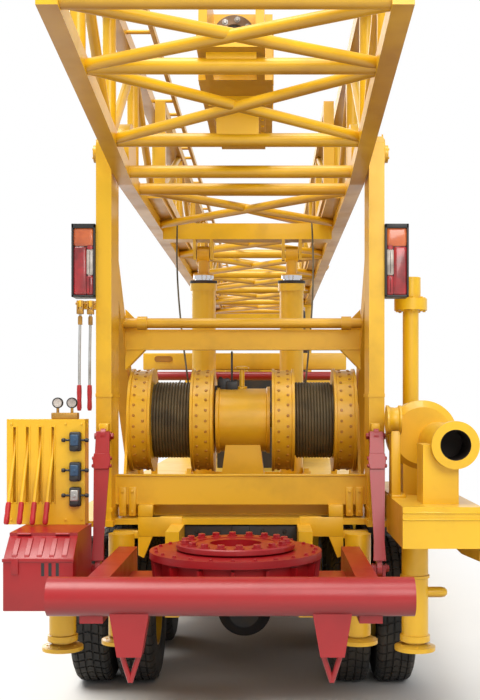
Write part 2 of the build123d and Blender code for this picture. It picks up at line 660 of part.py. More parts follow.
LINK_TOP = (PIVOT_Y - 255, 1960)
LINK_FOOT = (PIVOT_Y - 480, 1120)
with BuildPart() as side_links:
    bar((LINK_X - 16, *LINK_TOP), (LINK_X + 16, *LINK_TOP), 62)
    bar((LINK_X - 16, *LINK_FOOT), (LINK_X + 16, *LINK_FOOT), 55)
    slope = (Vector(0, LINK_FOOT[0] - LINK_TOP[0], LINK_FOOT[1] - LINK_TOP[1])).normalized()
    wide_y, wide_z = -slope.Z * 45, slope.Y * 45
    side_plate(
        LINK_X - 16,
        LINK_X + 16,
        [
            (LINK_TOP[0] - wide_y, LINK_TOP[1] - wide_z),
            (LINK_TOP[0] + wide_y, LINK_TOP[1] + wide_z),
            (LINK_FOOT[0] + wide_y, LINK_FOOT[1] + wide_z),
            (LINK_FOOT[0] - wide_y, LINK_FOOT[1] - wide_z),
        ],
    )
    for y, z in (LINK_TOP, LINK_FOOT):
        bar((LINK_X - 40, y, z), (LINK_X + 40, y, z), 24)
    block((LINK_X - 40, PIVOT_Y - 280, 1936), (LINK_X - 20, PIVOT_Y - POST_DEEP / 2 - SEAT, 1984))
    block((LINK_X + 20, PIVOT_Y - 280, 1936), (LINK_X + 40, PIVOT_Y - POST_DEEP / 2 - SEAT, 1984))
    block((LINK_X - 40, LINK_FOOT[0] - 30, 1050), (LINK_X - 20, LINK_FOOT[0] + 30, 1144))
    block((LINK_X + 20, LINK_FOOT[0] - 30, 1050), (LINK_X + 40, LINK_FOOT[0] + 30, 1144))
    mirror(about=Plane.YZ)
    block((-1330, PIVOT_Y - 1050, 990), (-930, PIVOT_Y - 570, 1420))
    block((-1330, PIVOT_Y - 1200, 990), (-930, PIVOT_Y - 1049, 1180))
    block((-1040, PIVOT_Y - 571, 930), (-940, JACK_BEAM[0], 1040))
save(side_links, "side_links")

# Rotary table housing and its turning part
with BuildPart() as rotary_table:
    turned(
        (0, TABLE_Y, 1130),
        (0, 0, 1),
        [
            (235, 0),
            (450, 0),
            (450, TABLE_TOP - 1130 - 50),
            (TABLE_R, TABLE_TOP - 1130 - 40),
            (TABLE_R, TABLE_TOP - 1130),
            (235, TABLE_TOP - 1130),
        ],
    )
save(rotary_table, "rotary_table")

with BuildPart() as table_rotor:
    turned(
        (0, TABLE_Y, 1150),
        (0, 0, 1),
        [
            (TABLE_BORE_R, 0),
            (228, 0),
            (228, TABLE_TOP - 1150 + SEAT),
            (ROTOR_R, TABLE_TOP - 1150 + SEAT),
            (ROTOR_R, TABLE_TOP - 1150 + 30),
            (ROTOR_R - 10, TABLE_TOP - 1150 + 38),
            (TABLE_BORE_R, TABLE_TOP - 1150 + 38),
        ],
    )
save(table_rotor, "table_rotor")

# Control panel with its four lever slots and four long levers
PANEL_REAR = PIVOT_Y - 640
PANEL_FRONT = PIVOT_Y - 500
with BuildPart() as control_panel:
    block((-1450, PANEL_REAR, 1420), (-960, PANEL_FRONT, 2080))
    for number in range(4):
        x = -1400 + number * 80
        block((x - 9, PANEL_REAR - 5, 1560), (x + 9, PANEL_REAR + 40, 2030), mode=Mode.SUBTRACT)
        bar((x, PANEL_REAR + 40, 1980), (x - 30, PANEL_REAR - 90, 1440), 11)
save(control_panel, "control_panel")

# Tail lamps on the outer faces of the posts
with BuildPart() as tail_lamps:
    block((POST_OUTER + SEAT, PIVOT_Y - POST_DEEP / 2 - 30, 2890), (POST_OUTER + 160, PIVOT_Y - 40, 3380))
    mirror(about=Plane.YZ)
save(tail_lamps, "tail_lamps")

# Pump, its pipes, the open elbow on its column and the tall vent pipe
PUMP_X = 1215
VENT_X = 1190
VENT_Y = PIVOT_Y + 170
PUMP_Z = 1963
PIPE_R = 95
ELBOW_X = 1310
ELBOW_Z = 1930
ELBOW_Y = PIVOT_Y - 950
with BuildPart() as mud_pump:
    turned((PUMP_X, PIVOT_Y - 270, PUMP_Z), (0, 1, 0), [(0, 0), (190, 0), (235, 40), (235, 160), (190, 200), (0, 200)])
    block((PUMP_X - 130, PIVOT_Y - 240, SIDE_BOX_TOP), (PUMP_X + 130, PIVOT_Y - 100, PUMP_Z - 100))
    bar((PUMP_X, PIVOT_Y - 71, PUMP_Z), (PUMP_X, PIVOT_Y + 500, PUMP_Z), 110)
    block((PUMP_X - 100, PIVOT_Y + 250, SIDE_BOX_TOP), (PUMP_X + 100, PIVOT_Y + 420, PUMP_Z))
    bar((VENT_X, VENT_Y, PUMP_Z), (VENT_X, VENT_Y, 2830), 56)
    bar((VENT_X, VENT_Y, 2829), (VENT_X, VENT_Y, 2910), 115)
    bar((VENT_X, VENT_Y, 2909), (VENT_X, VENT_Y, 3060), 70)
    bar((ELBOW_X, PIVOT_Y - 180, ELBOW_Z), (ELBOW_X, ELBOW_Y + 1, ELBOW_Z), PIPE_R + 30)
    bar((ELBOW_X, ELBOW_Y + 60, ELBOW_Z), (ELBOW_X, ELBOW_Y, ELBOW_Z), 144)
    with BuildSketch(Plane.XY.offset(SIDE_BOX_TOP)) as foot:
        with Locations((ELBOW_X - 78, ELBOW_Y + 200)):
            Rectangle(216, 260)
    extrude(foot.sketch, amount=ELBOW_Z - SIDE_BOX_TOP)
    bar((ELBOW_X, ELBOW_Y - 1, ELBOW_Z), (ELBOW_X, ELBOW_Y + 320, ELBOW_Z), 93, mode=Mode.SUBTRACT)
save(mud_pump, "mud_pump")

# Engine block and radiator
with BuildPart() as engine:
    block((-430, PIVOT_Y + 5300, DECK_Z), (430, PIVOT_Y + 7300, 2500))
save(engine, "engine")

with BuildPart() as radiator:
    block((-560, PIVOT_Y + 7500, DECK_Z), (560, PIVOT_Y + 7750, 2680))
save(radiator, "radiator")

# Fuel and hydraulic tanks below the deck
with BuildPart() as side_tanks:
    with BuildSketch(Plane.XZ.offset(-PIVOT_Y - 3400)) as tank:
        with Locations((850, 950)):
            RectangleRounded(640, 560, 120)
    extrude(tank.sketch, amount=-2300)
    for y in (PIVOT_Y + 3700, PIVOT_Y + 5200):
        block((RAIL_OUT, y, 1000), (540, y + 120, 1080))
    mirror(about=Plane.YZ)
save(side_tanks, "side_tanks")

# Axles with leaf springs
with BuildPart() as axles:
    for y in REAR_AXLES:
        bar((-1000, y, TYRE_R), (1000, y, TYRE_R), 62)
        turned((0, y - 190, TYRE_R), (0, 1, 0), [(0, 0), (120, 0), (210, 110), (210, 270), (120, 380), (0, 380)])
    for side in (-1, 1):
        x_low = min(side * 395, side * 465)
        side_plate(
            x_low,
            x_low + 70,
            [
                (REAR_AXLES[0] - 60, TYRE_R + 30),
                (REAR_AXLES[1] + 60, TYRE_R + 30),
                (REAR_AXLES[1] + 60, TYRE_R + 100),
                (sum(REAR_AXLES) / 2 + 130, RAIL_LOW),
                (sum(REAR_AXLES) / 2 - 130, RAIL_LOW),
                (REAR_AXLES[0] - 60, TYRE_R + 100),
            ],
        )
        side_plate(
            x_low,
            x_low + 70,
            [
                (FRONT_AXLE - 700, RAIL_LOW),
                (FRONT_AXLE - 700, RAIL_LOW - 60),
                (FRONT_AXLE - 120, TYRE_R + 40),
                (FRONT_AXLE + 120, TYRE_R + 40),
                (FRONT_AXLE + 700, RAIL_LOW - 60),
                (FRONT_AXLE + 700, RAIL_LOW),
                (FRONT_AXLE + 120, TYRE_R + 120),
                (FRONT_AXLE - 120, TYRE_R + 120),
            ],
        )
    block((-KINGPIN_X + 60, FRONT_AXLE - 55, TYRE_R - 70), (KINGPIN_X - 60, FRONT_AXLE + 55, TYRE_R + 60))
    for side in (-1, 1):
        bar((side * KINGPIN_X, FRONT_AXLE, TYRE_R - 75), (side * KINGPIN_X, FRONT_AXLE, TYRE_R + 75), 65)
        bar((side * KINGPIN_X, FRONT_AXLE, TYRE_R - 80), (side * KINGPIN_X, FRONT_AXLE, TYRE_R + 80), 25 + PIN_FIT, mode=Mode.SUBTRACT)
save(axles, "axles")

with BuildPart() as knuckle_right:
    bar((KINGPIN_X, FRONT_AXLE, TYRE_R - 130), (KINGPIN_X, FRONT_AXLE, TYRE_R + 130), 25)
    for z in (TYRE_R - 130, TYRE_R + 90):
        block((KINGPIN_X - 45, FRONT_AXLE - 45, z), (KINGPIN_X + 120, FRONT_AXLE + 45, z + 40))
    block((KINGPIN_X + 75, FRONT_AXLE - 45, TYRE_R - 130), (KINGPIN_X + 120, FRONT_AXLE + 45, TYRE_R + 130))
    bar((KINGPIN_X + 119, FRONT_AXLE, TYRE_R), (STEER_X + 60, FRONT_AXLE, TYRE_R), 45)
save(knuckle_right, "knuckle_right")
mirror_over(knuckle_right, "knuckle_left")

# Tyres and wheels
TYRE_PROFILE = [(RIM_R, 20), (RIM_R + 60, 0), (TYRE_R - 90, 4), (TYRE_R - 20, 24), (TYRE_R, 60)]
AXLE_BORE_R = 45 + PIN_FIT
REAR_BORE_R = 62 + PIN_FIT


def tyre_profile():
    """Half of the section, then its mirror image over the tyre's middle."""
    return TYRE_PROFILE + [(r, TYRE_WIDE - h) for r, h in reversed(TYRE_PROFILE)]


for name, y in (("rear_1", REAR_AXLES[0]), ("rear_2", REAR_AXLES[1])):
    with BuildPart() as tyres:
        for x in (DUAL_INNER_X, DUAL_OUTER_X):
            turned((x - TYRE_WIDE / 2, y, TYRE_R), (1, 0, 0), tyre_profile())
    save(tyres, f"tyres_{name}_right")
    mirror_over(tyres, f"tyres_{name}_left")
    with BuildPart() as rims:
        start = DUAL_INNER_X - TYRE_WIDE / 2 + 20
        end = DUAL_OUTER_X + TYRE_WIDE / 2 - 20
        turned(
            (0, y, TYRE_R),
            (1, 0, 0),
            [
                (RIM_R - 16, start),
                (RIM_R, start),
                (RIM_R, end),
                (RIM_R - 20, end),
                (RIM_R - 20, start + TYRE_WIDE + 60),
                (180, start + TYRE_WIDE + 30),
                (150, start + TYRE_WIDE + 150),
                (0, start + TYRE_WIDE + 150),
                (0, 1010),
                (REAR_BORE_R, 1010),
                (REAR_BORE_R, start + TYRE_WIDE),
                (RIM_R - 20, start + TYRE_WIDE),
            ],
        )
    save(rims, f"rims_{name}_right")
    mirror_over(rims, f"rims_{name}_left")

with BuildPart() as front_tyre:
    turned((STEER_X - TYRE_WIDE / 2, FRONT_AXLE, TYRE_R), (1, 0, 0), tyre_profile())
save(front_tyre, "tyre_front_right")
mirror_over(front_tyre, "tyre_front_left")
with BuildPart() as front_rim:
    start = STEER_X - TYRE_WIDE / 2 + 20
    end = STEER_X + TYRE_WIDE / 2 - 20
    turned(
        (0, FRONT_AXLE, TYRE_R),
        (1, 0, 0),
        [
            (RIM_R - 16, start),
            (RIM_R, start),
            (RIM_R, end),
            (RIM_R - 20, end),
            (RIM_R - 20, end - 60),
            (160, end - 30),
            (140, end),
            (0, end),
            (0, STEER_X + 65),
            (AXLE_BORE_R, STEER_X + 65),
            (AXLE_BORE_R, STEER_X - 60),
            (150, STEER_X - 60),
            (150, end - 80),
            (RIM_R - 20, end - 90),
        ],
    )
save(front_rim, "rim_front_right")
mirror_over(front_rim, "rim_front_left")

# Mast rest in front of the radiator: two posts with saddles under the mast's lower chords
REST_Y = PIVOT_Y + 9150
with BuildPart() as mast_rest:
    for side in (-1, 1):
        x = side * CHORD_X
        block((x - 50, REST_Y - 50, DECK_Z), (x + 50, REST_Y + 50, LOW_Z - 40))
        block((x - 70, REST_Y - 70, LOW_Z - 41), (x + 70, REST_Y + 70, LOW_Z - SEAT))
    block((-CHORD_X, REST_Y - 40, LOW_Z - 240), (CHORD_X, REST_Y + 40, LOW_Z - 140))
    block((-CHORD_X, REST_Y - 40, 2760), (CHORD_X, REST_Y + 40, 2840))
save(mast_rest, "mast_rest")

# Cab shell: hollow, with its windows and door openings cut
with BuildPart() as cab_shell:
    side_plate(
        -CAB_HALF,
        CAB_HALF,
        [
            (CAB_REAR, CAB_FLOOR),
            (CAB_FRONT, CAB_FLOOR),
            (CAB_FRONT, CAB_FLOOR + 800),
            (CAB_FRONT - 120, CAB_TOP),
            (CAB_REAR, CAB_TOP),
        ],
    )
    side_plate(
        -CAB_HALF + CAB_WALL,
        CAB_HALF - CAB_WALL,
        [
            (CAB_REAR + CAB_WALL, CAB_FLOOR + CAB_WALL),
            (CAB_FRONT - CAB_WALL, CAB_FLOOR + CAB_WALL),
            (CAB_FRONT - CAB_WALL, CAB_FLOOR + 800),
            (CAB_FRONT - 120 - CAB_WALL, CAB_TOP - CAB_WALL),
            (CAB_REAR + CAB_WALL, CAB_TOP - CAB_WALL),
        ],
        mode=Mode.SUBTRACT,
    )
    block((-CAB_HALF + 130, CAB_FRONT - 400, CAB_FLOOR + 830), (CAB_HALF - 130, CAB_FRONT + 20, CAB_TOP - 170), mode=Mode.SUBTRACT)
    block((-650, CAB_REAR - 10, CAB_FLOOR + 880), (650, CAB_REAR + CAB_WALL + 10, CAB_TOP - 250), mode=Mode.SUBTRACT)
    block(
        (-CAB_HALF - 10, DOOR_REAR - CLEAR, DOOR_LOW - CLEAR),
        (CAB_HALF + 10, DOOR_FRONT + CLEAR, DOOR_HIGH + CLEAR),
        mode=Mode.SUBTRACT,
    )
    for z in HINGE_LEVELS:
        bar((HINGE_X, HINGE_Y, z - HINGE_TALL), (HINGE_X, HINGE_Y, z + HINGE_TALL), HINGE_PIN_R)
        for low in (z - HINGE_TALL, z + HINGE_TALL - EAR_TALL):
            bar((HINGE_X, HINGE_Y, low), (HINGE_X, HINGE_Y, low + EAR_TALL), HINGE_PIN_R + 3)
            block((CAB_HALF + 6, HINGE_Y, low), (HINGE_X + 11, DOOR_FRONT + 60, low + EAR_TALL))
            block((CAB_HALF - 5, DOOR_FRONT + CLEAR, low), (HINGE_X + 11, DOOR_FRONT + 60, low + EAR_TALL))
    for z in HINGE_LEVELS:
        bar((-HINGE_X, HINGE_Y, z - HINGE_TALL), (-HINGE_X, HINGE_Y, z + HINGE_TALL), HINGE_PIN_R)
        for low in (z - HINGE_TALL, z + HINGE_TALL - EAR_TALL):
            bar((-HINGE_X, HINGE_Y, low), (-HINGE_X, HINGE_Y, low + EAR_TALL), HINGE_PIN_R + 3)
            block((-HINGE_X - 11, HINGE_Y, low), (-CAB_HALF - 6, DOOR_FRONT + 60, low + EAR_TALL))
            block((-HINGE_X - 11, DOOR_FRONT + CLEAR, low), (-CAB_HALF + 5, DOOR_FRONT + 60, low + EAR_TALL))
save(cab_shell, "cab_shell")

with BuildPart() as door_right:
    block((CAB_HALF - CAB_WALL, DOOR_REAR, DOOR_LOW), (CAB_HALF, DOOR_FRONT, DOOR_HIGH))
    block((CAB_HALF - CAB_WALL - 5, DOOR_REAR + 90, CAB_FLOOR + 800), (CAB_HALF + 5, DOOR_FRONT - 90, DOOR_HIGH - 90), mode=Mode.SUBTRACT)
    for z in HINGE_LEVELS:
        low, high = z - HINGE_TALL + EAR_TALL + 2, z + HINGE_TALL - EAR_TALL - 2
        block((CAB_HALF - 1, DOOR_FRONT - 120, low), (CAB_HALF + 12, HINGE_Y, high))
        bar((HINGE_X, HINGE_Y, low), (HINGE_X, HINGE_Y, high), HINGE_PIN_R + 6)
        bar((HINGE_X, HINGE_Y, low - 1), (HINGE_X, HINGE_Y, high + 1), HINGE_PIN_R + PIN_FIT, mode=Mode.SUBTRACT)
save(door_right, "door_right")
mirror_over(door_right, "door_left")

with BuildPart() as cab_glass:
    top = (CAB_FRONT - 120, CAB_TOP)
    foot = (CAB_FRONT, CAB_FLOOR + 800)
    lean = (top[0] - foot[0]) / (top[1] - foot[1])
    low, high = CAB_FLOOR + 830, CAB_TOP - 170
    front_low, front_high = foot[0] + lean * (low - foot[1]) - 30, foot[0] + lean * (high - foot[1]) - 30
    side_plate(
        -CAB_HALF + 130,
        CAB_HALF - 130,
        [(front_low, low), (front_low + 8, low), (front_high + 8, high), (front_high, high)],
    )
    block((-650, CAB_REAR + 20, CAB_FLOOR + 880), (650, CAB_REAR + 28, CAB_TOP - 250))
save(cab_glass, "cab_glass")

with BuildPart() as cab_interior:
    for x in (-550, 550):
        block((x - 230, CAB_REAR + 150, CAB_FLOOR + CAB_WALL), (x + 230, CAB_REAR + 560, CAB_FLOOR + 430))
        block((x - 230, CAB_REAR + 100, CAB_FLOOR + 430), (x + 230, CAB_REAR + 220, CAB_FLOOR + 1050))
    block((-CAB_HALF + CAB_WALL + 20, CAB_FRONT - 330, CAB_FLOOR + 500), (CAB_HALF - CAB_WALL - 20, CAB_FRONT - CAB_WALL, CAB_FLOOR + 760))
    block((-80, CAB_FRONT - 330, CAB_FLOOR + CAB_WALL), (80, CAB_FRONT - 200, CAB_FLOOR + 510))
save(cab_interior, "cab_interior")

# Front bumper on the rail ends
with BuildPart() as front_bumper:
    block((-1180, RAIL_FRONT, 700), (1180, RAIL_FRONT + 130, 1060))
save(front_bumper, "front_bumper")
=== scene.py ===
# %% [markdown]
# # A truck-mounted rotary drilling rig
# The steelwork comes from the CAD frame and stays where it is. This lesson gives every surface its paint,
# rubber or glass, and adds the small things that a designer leaves out of the solids: bolts, grips, lenses
# and tread.

# %% Load the frame
import json
import math

import bmesh
import bpy
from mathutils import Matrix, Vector


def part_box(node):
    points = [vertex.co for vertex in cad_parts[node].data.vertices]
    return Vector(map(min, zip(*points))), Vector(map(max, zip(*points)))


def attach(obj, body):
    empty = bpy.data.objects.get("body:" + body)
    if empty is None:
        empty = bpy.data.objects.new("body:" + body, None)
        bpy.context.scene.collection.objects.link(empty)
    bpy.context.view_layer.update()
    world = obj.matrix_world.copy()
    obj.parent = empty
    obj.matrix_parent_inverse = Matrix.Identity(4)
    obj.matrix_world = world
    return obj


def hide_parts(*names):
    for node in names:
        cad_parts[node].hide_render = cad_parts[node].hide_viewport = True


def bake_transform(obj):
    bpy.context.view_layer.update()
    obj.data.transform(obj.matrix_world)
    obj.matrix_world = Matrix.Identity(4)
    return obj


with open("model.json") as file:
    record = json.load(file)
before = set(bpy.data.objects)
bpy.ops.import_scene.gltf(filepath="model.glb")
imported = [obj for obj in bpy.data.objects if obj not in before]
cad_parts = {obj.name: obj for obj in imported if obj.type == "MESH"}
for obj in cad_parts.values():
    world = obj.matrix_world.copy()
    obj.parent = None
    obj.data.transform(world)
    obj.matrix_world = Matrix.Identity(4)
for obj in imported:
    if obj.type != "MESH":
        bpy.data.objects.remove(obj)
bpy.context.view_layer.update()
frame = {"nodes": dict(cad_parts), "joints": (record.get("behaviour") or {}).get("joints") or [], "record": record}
nodes = frame["nodes"]
joint = {j["name"]: j for j in frame["joints"]}
PIVOT = Vector(joint["mast_tilt"]["pos_m"])

# %% [markdown]
# The camera stands behind the rig, level, a little to the right of its middle. A level camera keeps the posts
# upright, and the lens shift moves the picture up to the mast without tilting anything.

# %% Camera
PICTURE = (480, 700)
VANISHING_POINT = (270, 400)
FOCAL_PIXELS = 1050
SENSOR = 36.0
CAMERA_AT = Vector((0.2, PIVOT.y - 7.22, 2.2))
lens = bpy.data.cameras.new("rear_camera")
lens.sensor_width = SENSOR
lens.lens = FOCAL_PIXELS * SENSOR / PICTURE[1]
lens.shift_x = (PICTURE[0] / 2 - VANISHING_POINT[0]) / PICTURE[1]
lens.shift_y = (VANISHING_POINT[1] - PICTURE[1] / 2) / PICTURE[1]
camera = bpy.data.objects.new("rear_camera", lens)
camera.location = CAMERA_AT
camera.rotation_euler = (math.pi / 2, 0, 0)
bpy.context.scene.collection.objects.link(camera)
bpy.context.scene.camera = camera
bpy.context.scene.view_settings.view_transform = "Standard"
print("lens", round(lens.lens, 1), "mm, shift", round(lens.shift_x, 4), round(lens.shift_y, 4))

# %% [markdown]
# Shader maths reads best as plain expressions. A small class wraps a socket, so that `1 - mask` or `dirt *
# 0.4` adds the Math node it needs, and a second class wraps a material and makes every other node through one
# method.

# %% Shader helpers
class Field:
    """A value that changes over a surface: one output socket, with arithmetic."""

    def __init__(self, finish, socket):
        self.finish = finish
        self.socket = socket

    def math(self, operation, first, second, clamp=False):
        return self.finish.node(
            "ShaderNodeMath", {"operation": operation, "use_clamp": clamp}, {0: first, 1: second}
        )

    def __add__(self, other):
        return self.math("ADD", self, other)

    __radd__ = __add__

    def __sub__(self, other):
        return self.math("SUBTRACT", self, other)

    def __rsub__(self, other):
        return self.math("SUBTRACT", other, self)

    def __mul__(self, other):
        return self.math("MULTIPLY", self, other)

    __rmul__ = __mul__

    def __truediv__(self, other):
        return self.math("DIVIDE", self, other)

    def __pow__(self, other):
        return self.math("POWER", self, other)

    def limited(self):
        return self.math("ADD", self, 0.0, clamp=True)


class Finish:
    """A material with one Principled shader, whose sockets take numbers or fields."""

    def __init__(self, name, **settings):
        self.material = bpy.data.materials.new(name)
        self.material.use_nodes = True
        self.tree = self.material.node_tree
        self.shader = self.tree.nodes["Principled BSDF"]
        self.place = self.node("ShaderNodeTexCoord", {}, {}, "Object")
        self.set(settings)

    def put(self, sockets, values):
        for key, value in values.items():
            if isinstance(value, Field):
                self.tree.links.new(value.socket, sockets[key])
            else:
                sockets[key].default_value = value

    def node(self, kind, settings, values, output=0):
        made = self.tree.nodes.new(kind)
        for key, value in settings.items():
            if key == "stops":
                ramp = made.color_ramp
                while len(ramp.elements) < len(value):
                    ramp.elements.new(0.5)
                for element, (position, shade) in zip(ramp.elements, value):
                    element.position = position
                    element.color = (*shade, 1) if isinstance(shade, tuple) else (shade, shade, shade, 1)
            else:
                setattr(made, key, value)
        self.put(made.inputs, values)
        return Field(self, made.outputs[output])

    def set(self, values):
        self.put(self.shader.inputs, {key.replace("_", " "): value for key, value in values.items()})

    def noise(self, scale, detail=3.0, at=None):
        values = {"Vector": at or self.place, "Scale": scale, "Detail": detail}
        return self.node("ShaderNodeTexNoise", {}, values, "Fac")

    def steps(self, field, stops):
        return self.node("ShaderNodeValToRGB", {"stops": stops}, {0: field})

    def mix(self, share, first, second):
        """Colours are mixed by the Mix node, because a Math node would turn them grey."""
        made = self.node("ShaderNodeMix", {"data_type": "RGBA"}, {"Factor": share}, 2)
        sockets = made.socket.node.inputs
        self.put(sockets, {6: first, 7: second})
        return made

    def axis(self, letter, vector=None):
        return self.node("ShaderNodeSeparateXYZ", {}, {0: vector or self.place}, letter)

    def facing(self, letter):
        """How far the surface faces along one axis, from the true normal."""
        return self.axis(letter, self.node("ShaderNodeNewGeometry", {}, {}, "Normal"))

    def bump(self, height, strength, distance=0.01):
        field = self.node("ShaderNodeBump", {}, {"Height": height, "Strength": strength, "Distance": distance})
        self.put(self.shader.inputs, {"Normal": field})


def colour(red, green, blue):
    """An sRGB colour from 0 to 255, as the linear values that a shader takes."""
    return tuple(((c / 255 + 0.055) / 1.055) ** 2.4 if c > 10 else c / 3294 for c in (red, green, blue)) + (1.0,)


# %% [markdown]
# Fresh machine enamel looks even, but never is. The coat is thicker in some places, dust settles on what
# faces up, and the spray leaves a faint orange peel. What faces down is painted darker, as painted shade, in
# the same colour as the stains. Soft noise in object space gives all of that without any picture.

# %% Enamel paints
def enamel(name, fresh, faded, grime_and_shade, dust=0.16, underside_shade=0.5):
    paint = Finish(name, Coat_Weight=0.12, Coat_Roughness=0.25)
    cloud = paint.steps(paint.noise(0.7, 3), [(0.3, 0.0), (0.75, 1.0)])
    base = paint.mix(cloud * 0.6, fresh, faded)
    stain = paint.steps(paint.noise(4.0, 7), [(0.5, 0.0), (0.85, 1.0)])
    base = paint.mix(stain * 0.3, base, grime_and_shade)
    # What faces down is darkened towards the grime colour: painted shade on the undersides.
    down = paint.steps(paint.facing("Z") * 0.5 + 0.5, [(0.0, 1.0), (0.48, 0.0)])
    base = paint.mix((down * underside_shade * (paint.noise(1.4, 4) * 0.6 + 0.5)).limited(), base, grime_and_shade)
    up = paint.steps(paint.facing("Z"), [(0.55, 0.0), (0.95, 1.0)])
    base = paint.mix((up * dust * paint.noise(2.6, 5)).limited(), base, colour(222, 206, 160))
    paint.set({"Base_Color": base, "Roughness": (cloud * 0.1 + stain * 0.15 + 0.3).limited()})
    paint.bump(paint.noise(150.0, 2), 0.05, 0.002)
    return paint.material


# The third colour is for stains and for the painted shade below; the last number sets how strong that shade is.
YELLOW = enamel("yellow_enamel", colour(240, 190, 30), colour(226, 170, 24), colour(112, 64, 22), 0.2, 1.0)
RED = enamel("red_enamel", colour(164, 14, 20), colour(140, 12, 20), colour(58, 10, 14), 0.0, 0.9)
# A darker yellow for the lining bolts, and as painted shade in the screen's hand hole.
YELLOW_DARK = enamel("darker_yellow_enamel", colour(190, 132, 26), colour(160, 104, 22), colour(104, 60, 22))
print("three enamels")

# %% [markdown]
# Bare and oily metals differ in how rough they are, more than in colour.

# %% Metals
def metal(name, base, dirt, roughness, metallic=1.0, grain=90.0):
    made = Finish(name)
    patch = made.steps(made.noise(7.0, 6), [(0.42, 0.0), (0.7, 1.0)])
    made.set({
        "Base_Color": made.mix(patch * 0.7, base, dirt),
        "Metallic": (metallic - patch * metallic * 0.4).limited(),
        "Roughness": (made.noise(grain, 3) * 0.2 + patch * 0.15 + roughness).limited(),
    })
    made.bump(made.noise(grain, 4), 0.12, 0.002)
    return made.material


STEEL = metal("machined_steel", colour(176, 176, 174), colour(120, 112, 100), 0.22)
CHROME = metal("chromed_rod", colour(215, 215, 215), colour(170, 168, 160), 0.06, grain=40.0)
OILY_STEEL = metal("oily_steel", colour(142, 120, 98), colour(96, 76, 58), 0.4)
CAST = metal("dark_casting", colour(52, 52, 54), colour(74, 62, 50), 0.5, 0.5)
BRASS = metal("brass_block", colour(176, 132, 62), colour(110, 82, 44), 0.34, 0.8)
ROPE = metal("greased_wire_rope", colour(96, 84, 58), colour(48, 42, 32), 0.42, 0.3, 240.0)
BLACK_IRON = metal("black_pipe", colour(40, 36, 33), colour(66, 48, 36), 0.45, 0.3)
print("seven metals")

# %% [markdown]
# Rubber and plastic are matt and never quite black. A tyre also wears a thin coat of road dust.

# %% Rubber, plastic, fabric and glass
def rubber(name, base, dusty, roughness, grain):
    made = Finish(name)
    dust = made.steps(made.noise(4.0, 6), [(0.4, 0.0), (0.75, 1.0)])
    made.set({
        "Base_Color": made.mix(dust * 0.5, base, dusty),
        "Roughness": (made.noise(30.0, 2) * 0.15 + roughness).limited(),
    })
    made.bump(made.noise(grain, 3), 0.2, 0.001)
    return made.material


TYRE = rubber("dusty_tyre", colour(38, 37, 36), colour(86, 78, 66), 0.72, 260.0)
PLASTIC = rubber("black_plastic", colour(26, 26, 28), colour(48, 46, 44), 0.4, 200.0)
GRIP = rubber("red_grip", colour(186, 32, 36), colour(140, 30, 32), 0.35, 220.0)
BLUE = rubber("blue_cap", colour(38, 72, 104), colour(60, 84, 104), 0.35, 220.0)


def woven(name, thread, gap):
    made = Finish(name, Roughness=0.85, Sheen_Weight=0.4)
    across = made.node(
        "ShaderNodeTexWave", {"bands_direction": "X"}, {"Vector": made.place, "Scale": 120.0}, "Fac"
    )
    down = made.node(
        "ShaderNodeTexWave", {"bands_direction": "Z"}, {"Vector": made.place, "Scale": 120.0}, "Fac"
    )
    weave = across * down
    made.set({"Base_Color": made.mix(weave, gap, thread)})
    made.bump(weave, 0.4, 0.001)
    return made.material


SEAT = woven("seat_fabric", colour(70, 72, 78), colour(34, 34, 38))


def clear(name, tint, alpha, roughness=0.05):
    made = Finish(name, Alpha=alpha, IOR=1.45)
    smear = made.steps(made.noise(6.0, 5), [(0.5, 0.0), (0.8, 1.0)])
    made.set(
        {
            "Base_Color": made.mix(smear * 0.4, tint, colour(190, 186, 172)),
            "Roughness": smear * 0.2 + roughness
        }
    )
    made.material.surface_render_method = "BLENDED"
    return made.material


GLASS = clear("cab_glass", colour(150, 172, 174), 0.3)


def lens_plastic(name, deep, bright):
    """A ribbed lamp lens: fine prisms inside, deeper colour between them."""
    made = Finish(name, Coat_Weight=0.6, Coat_Roughness=0.08)
    ribs = made.node("ShaderNodeTexWave", {"bands_direction": "X"}, {"Vector": made.place, "Scale": 60.0}, "Fac")
    rows = made.node("ShaderNodeTexWave", {"bands_direction": "Z"}, {"Vector": made.place, "Scale": 30.0}, "Fac")
    glow = made.steps(made.noise(9.0, 2), [(0.4, 0.0), (0.7, 1.0)])
    made.set({"Base_Color": made.mix((ribs * rows * 0.2 + glow * 0.8).limited(), deep, bright)})
    made.set({"Roughness": ribs * 0.15 + 0.2})
    made.bump(ribs + rows, 0.12, 0.001)
    return made.material


LENS_RED = lens_plastic("red_lens", colour(120, 18, 24), colour(196, 34, 40))
LENS_AMBER = lens_plastic("amber_lens", colour(180, 78, 32), colour(226, 120, 58))
LENS_WHITE = lens_plastic("white_lens", colour(150, 140, 132), colour(222, 214, 204))
print("rubber, fabric, glass and lenses")

# %% [markdown]
# The CAD nodes whose shape is right only need their finish. The record says which slot a node has. Only the
# rods and stages of the raising cylinders differ, and they get their own finish further down.

# %% Dress the CAD nodes
SLOT_FINISH = {
    "yellow_paint": YELLOW, "red_paint": RED, "dark_steel": CAST, "wire_rope": ROPE, "steel": CHROME,
    "black_plastic": PLASTIC, "lens_red": LENS_RED, "tyre": TYRE, "glass": GLASS, "seat": SEAT,
}
for part in frame["record"]["subparts"]:
    skin = nodes[part["node"]].data
    skin.materials.clear()
    skin.materials.append(SLOT_FINISH[part["material_slot"]])
print(len(nodes), "CAD nodes dressed")

# %% [markdown]
# A pale floor and soft lamps. The sky is white only for what the camera, gloss and glass see. The light on
# the rig stays at a plain level, so that a colour renders about as it is written. The main lamp is a wide
# sun, because the raised mast would pass an area lamp and burn out beside it.

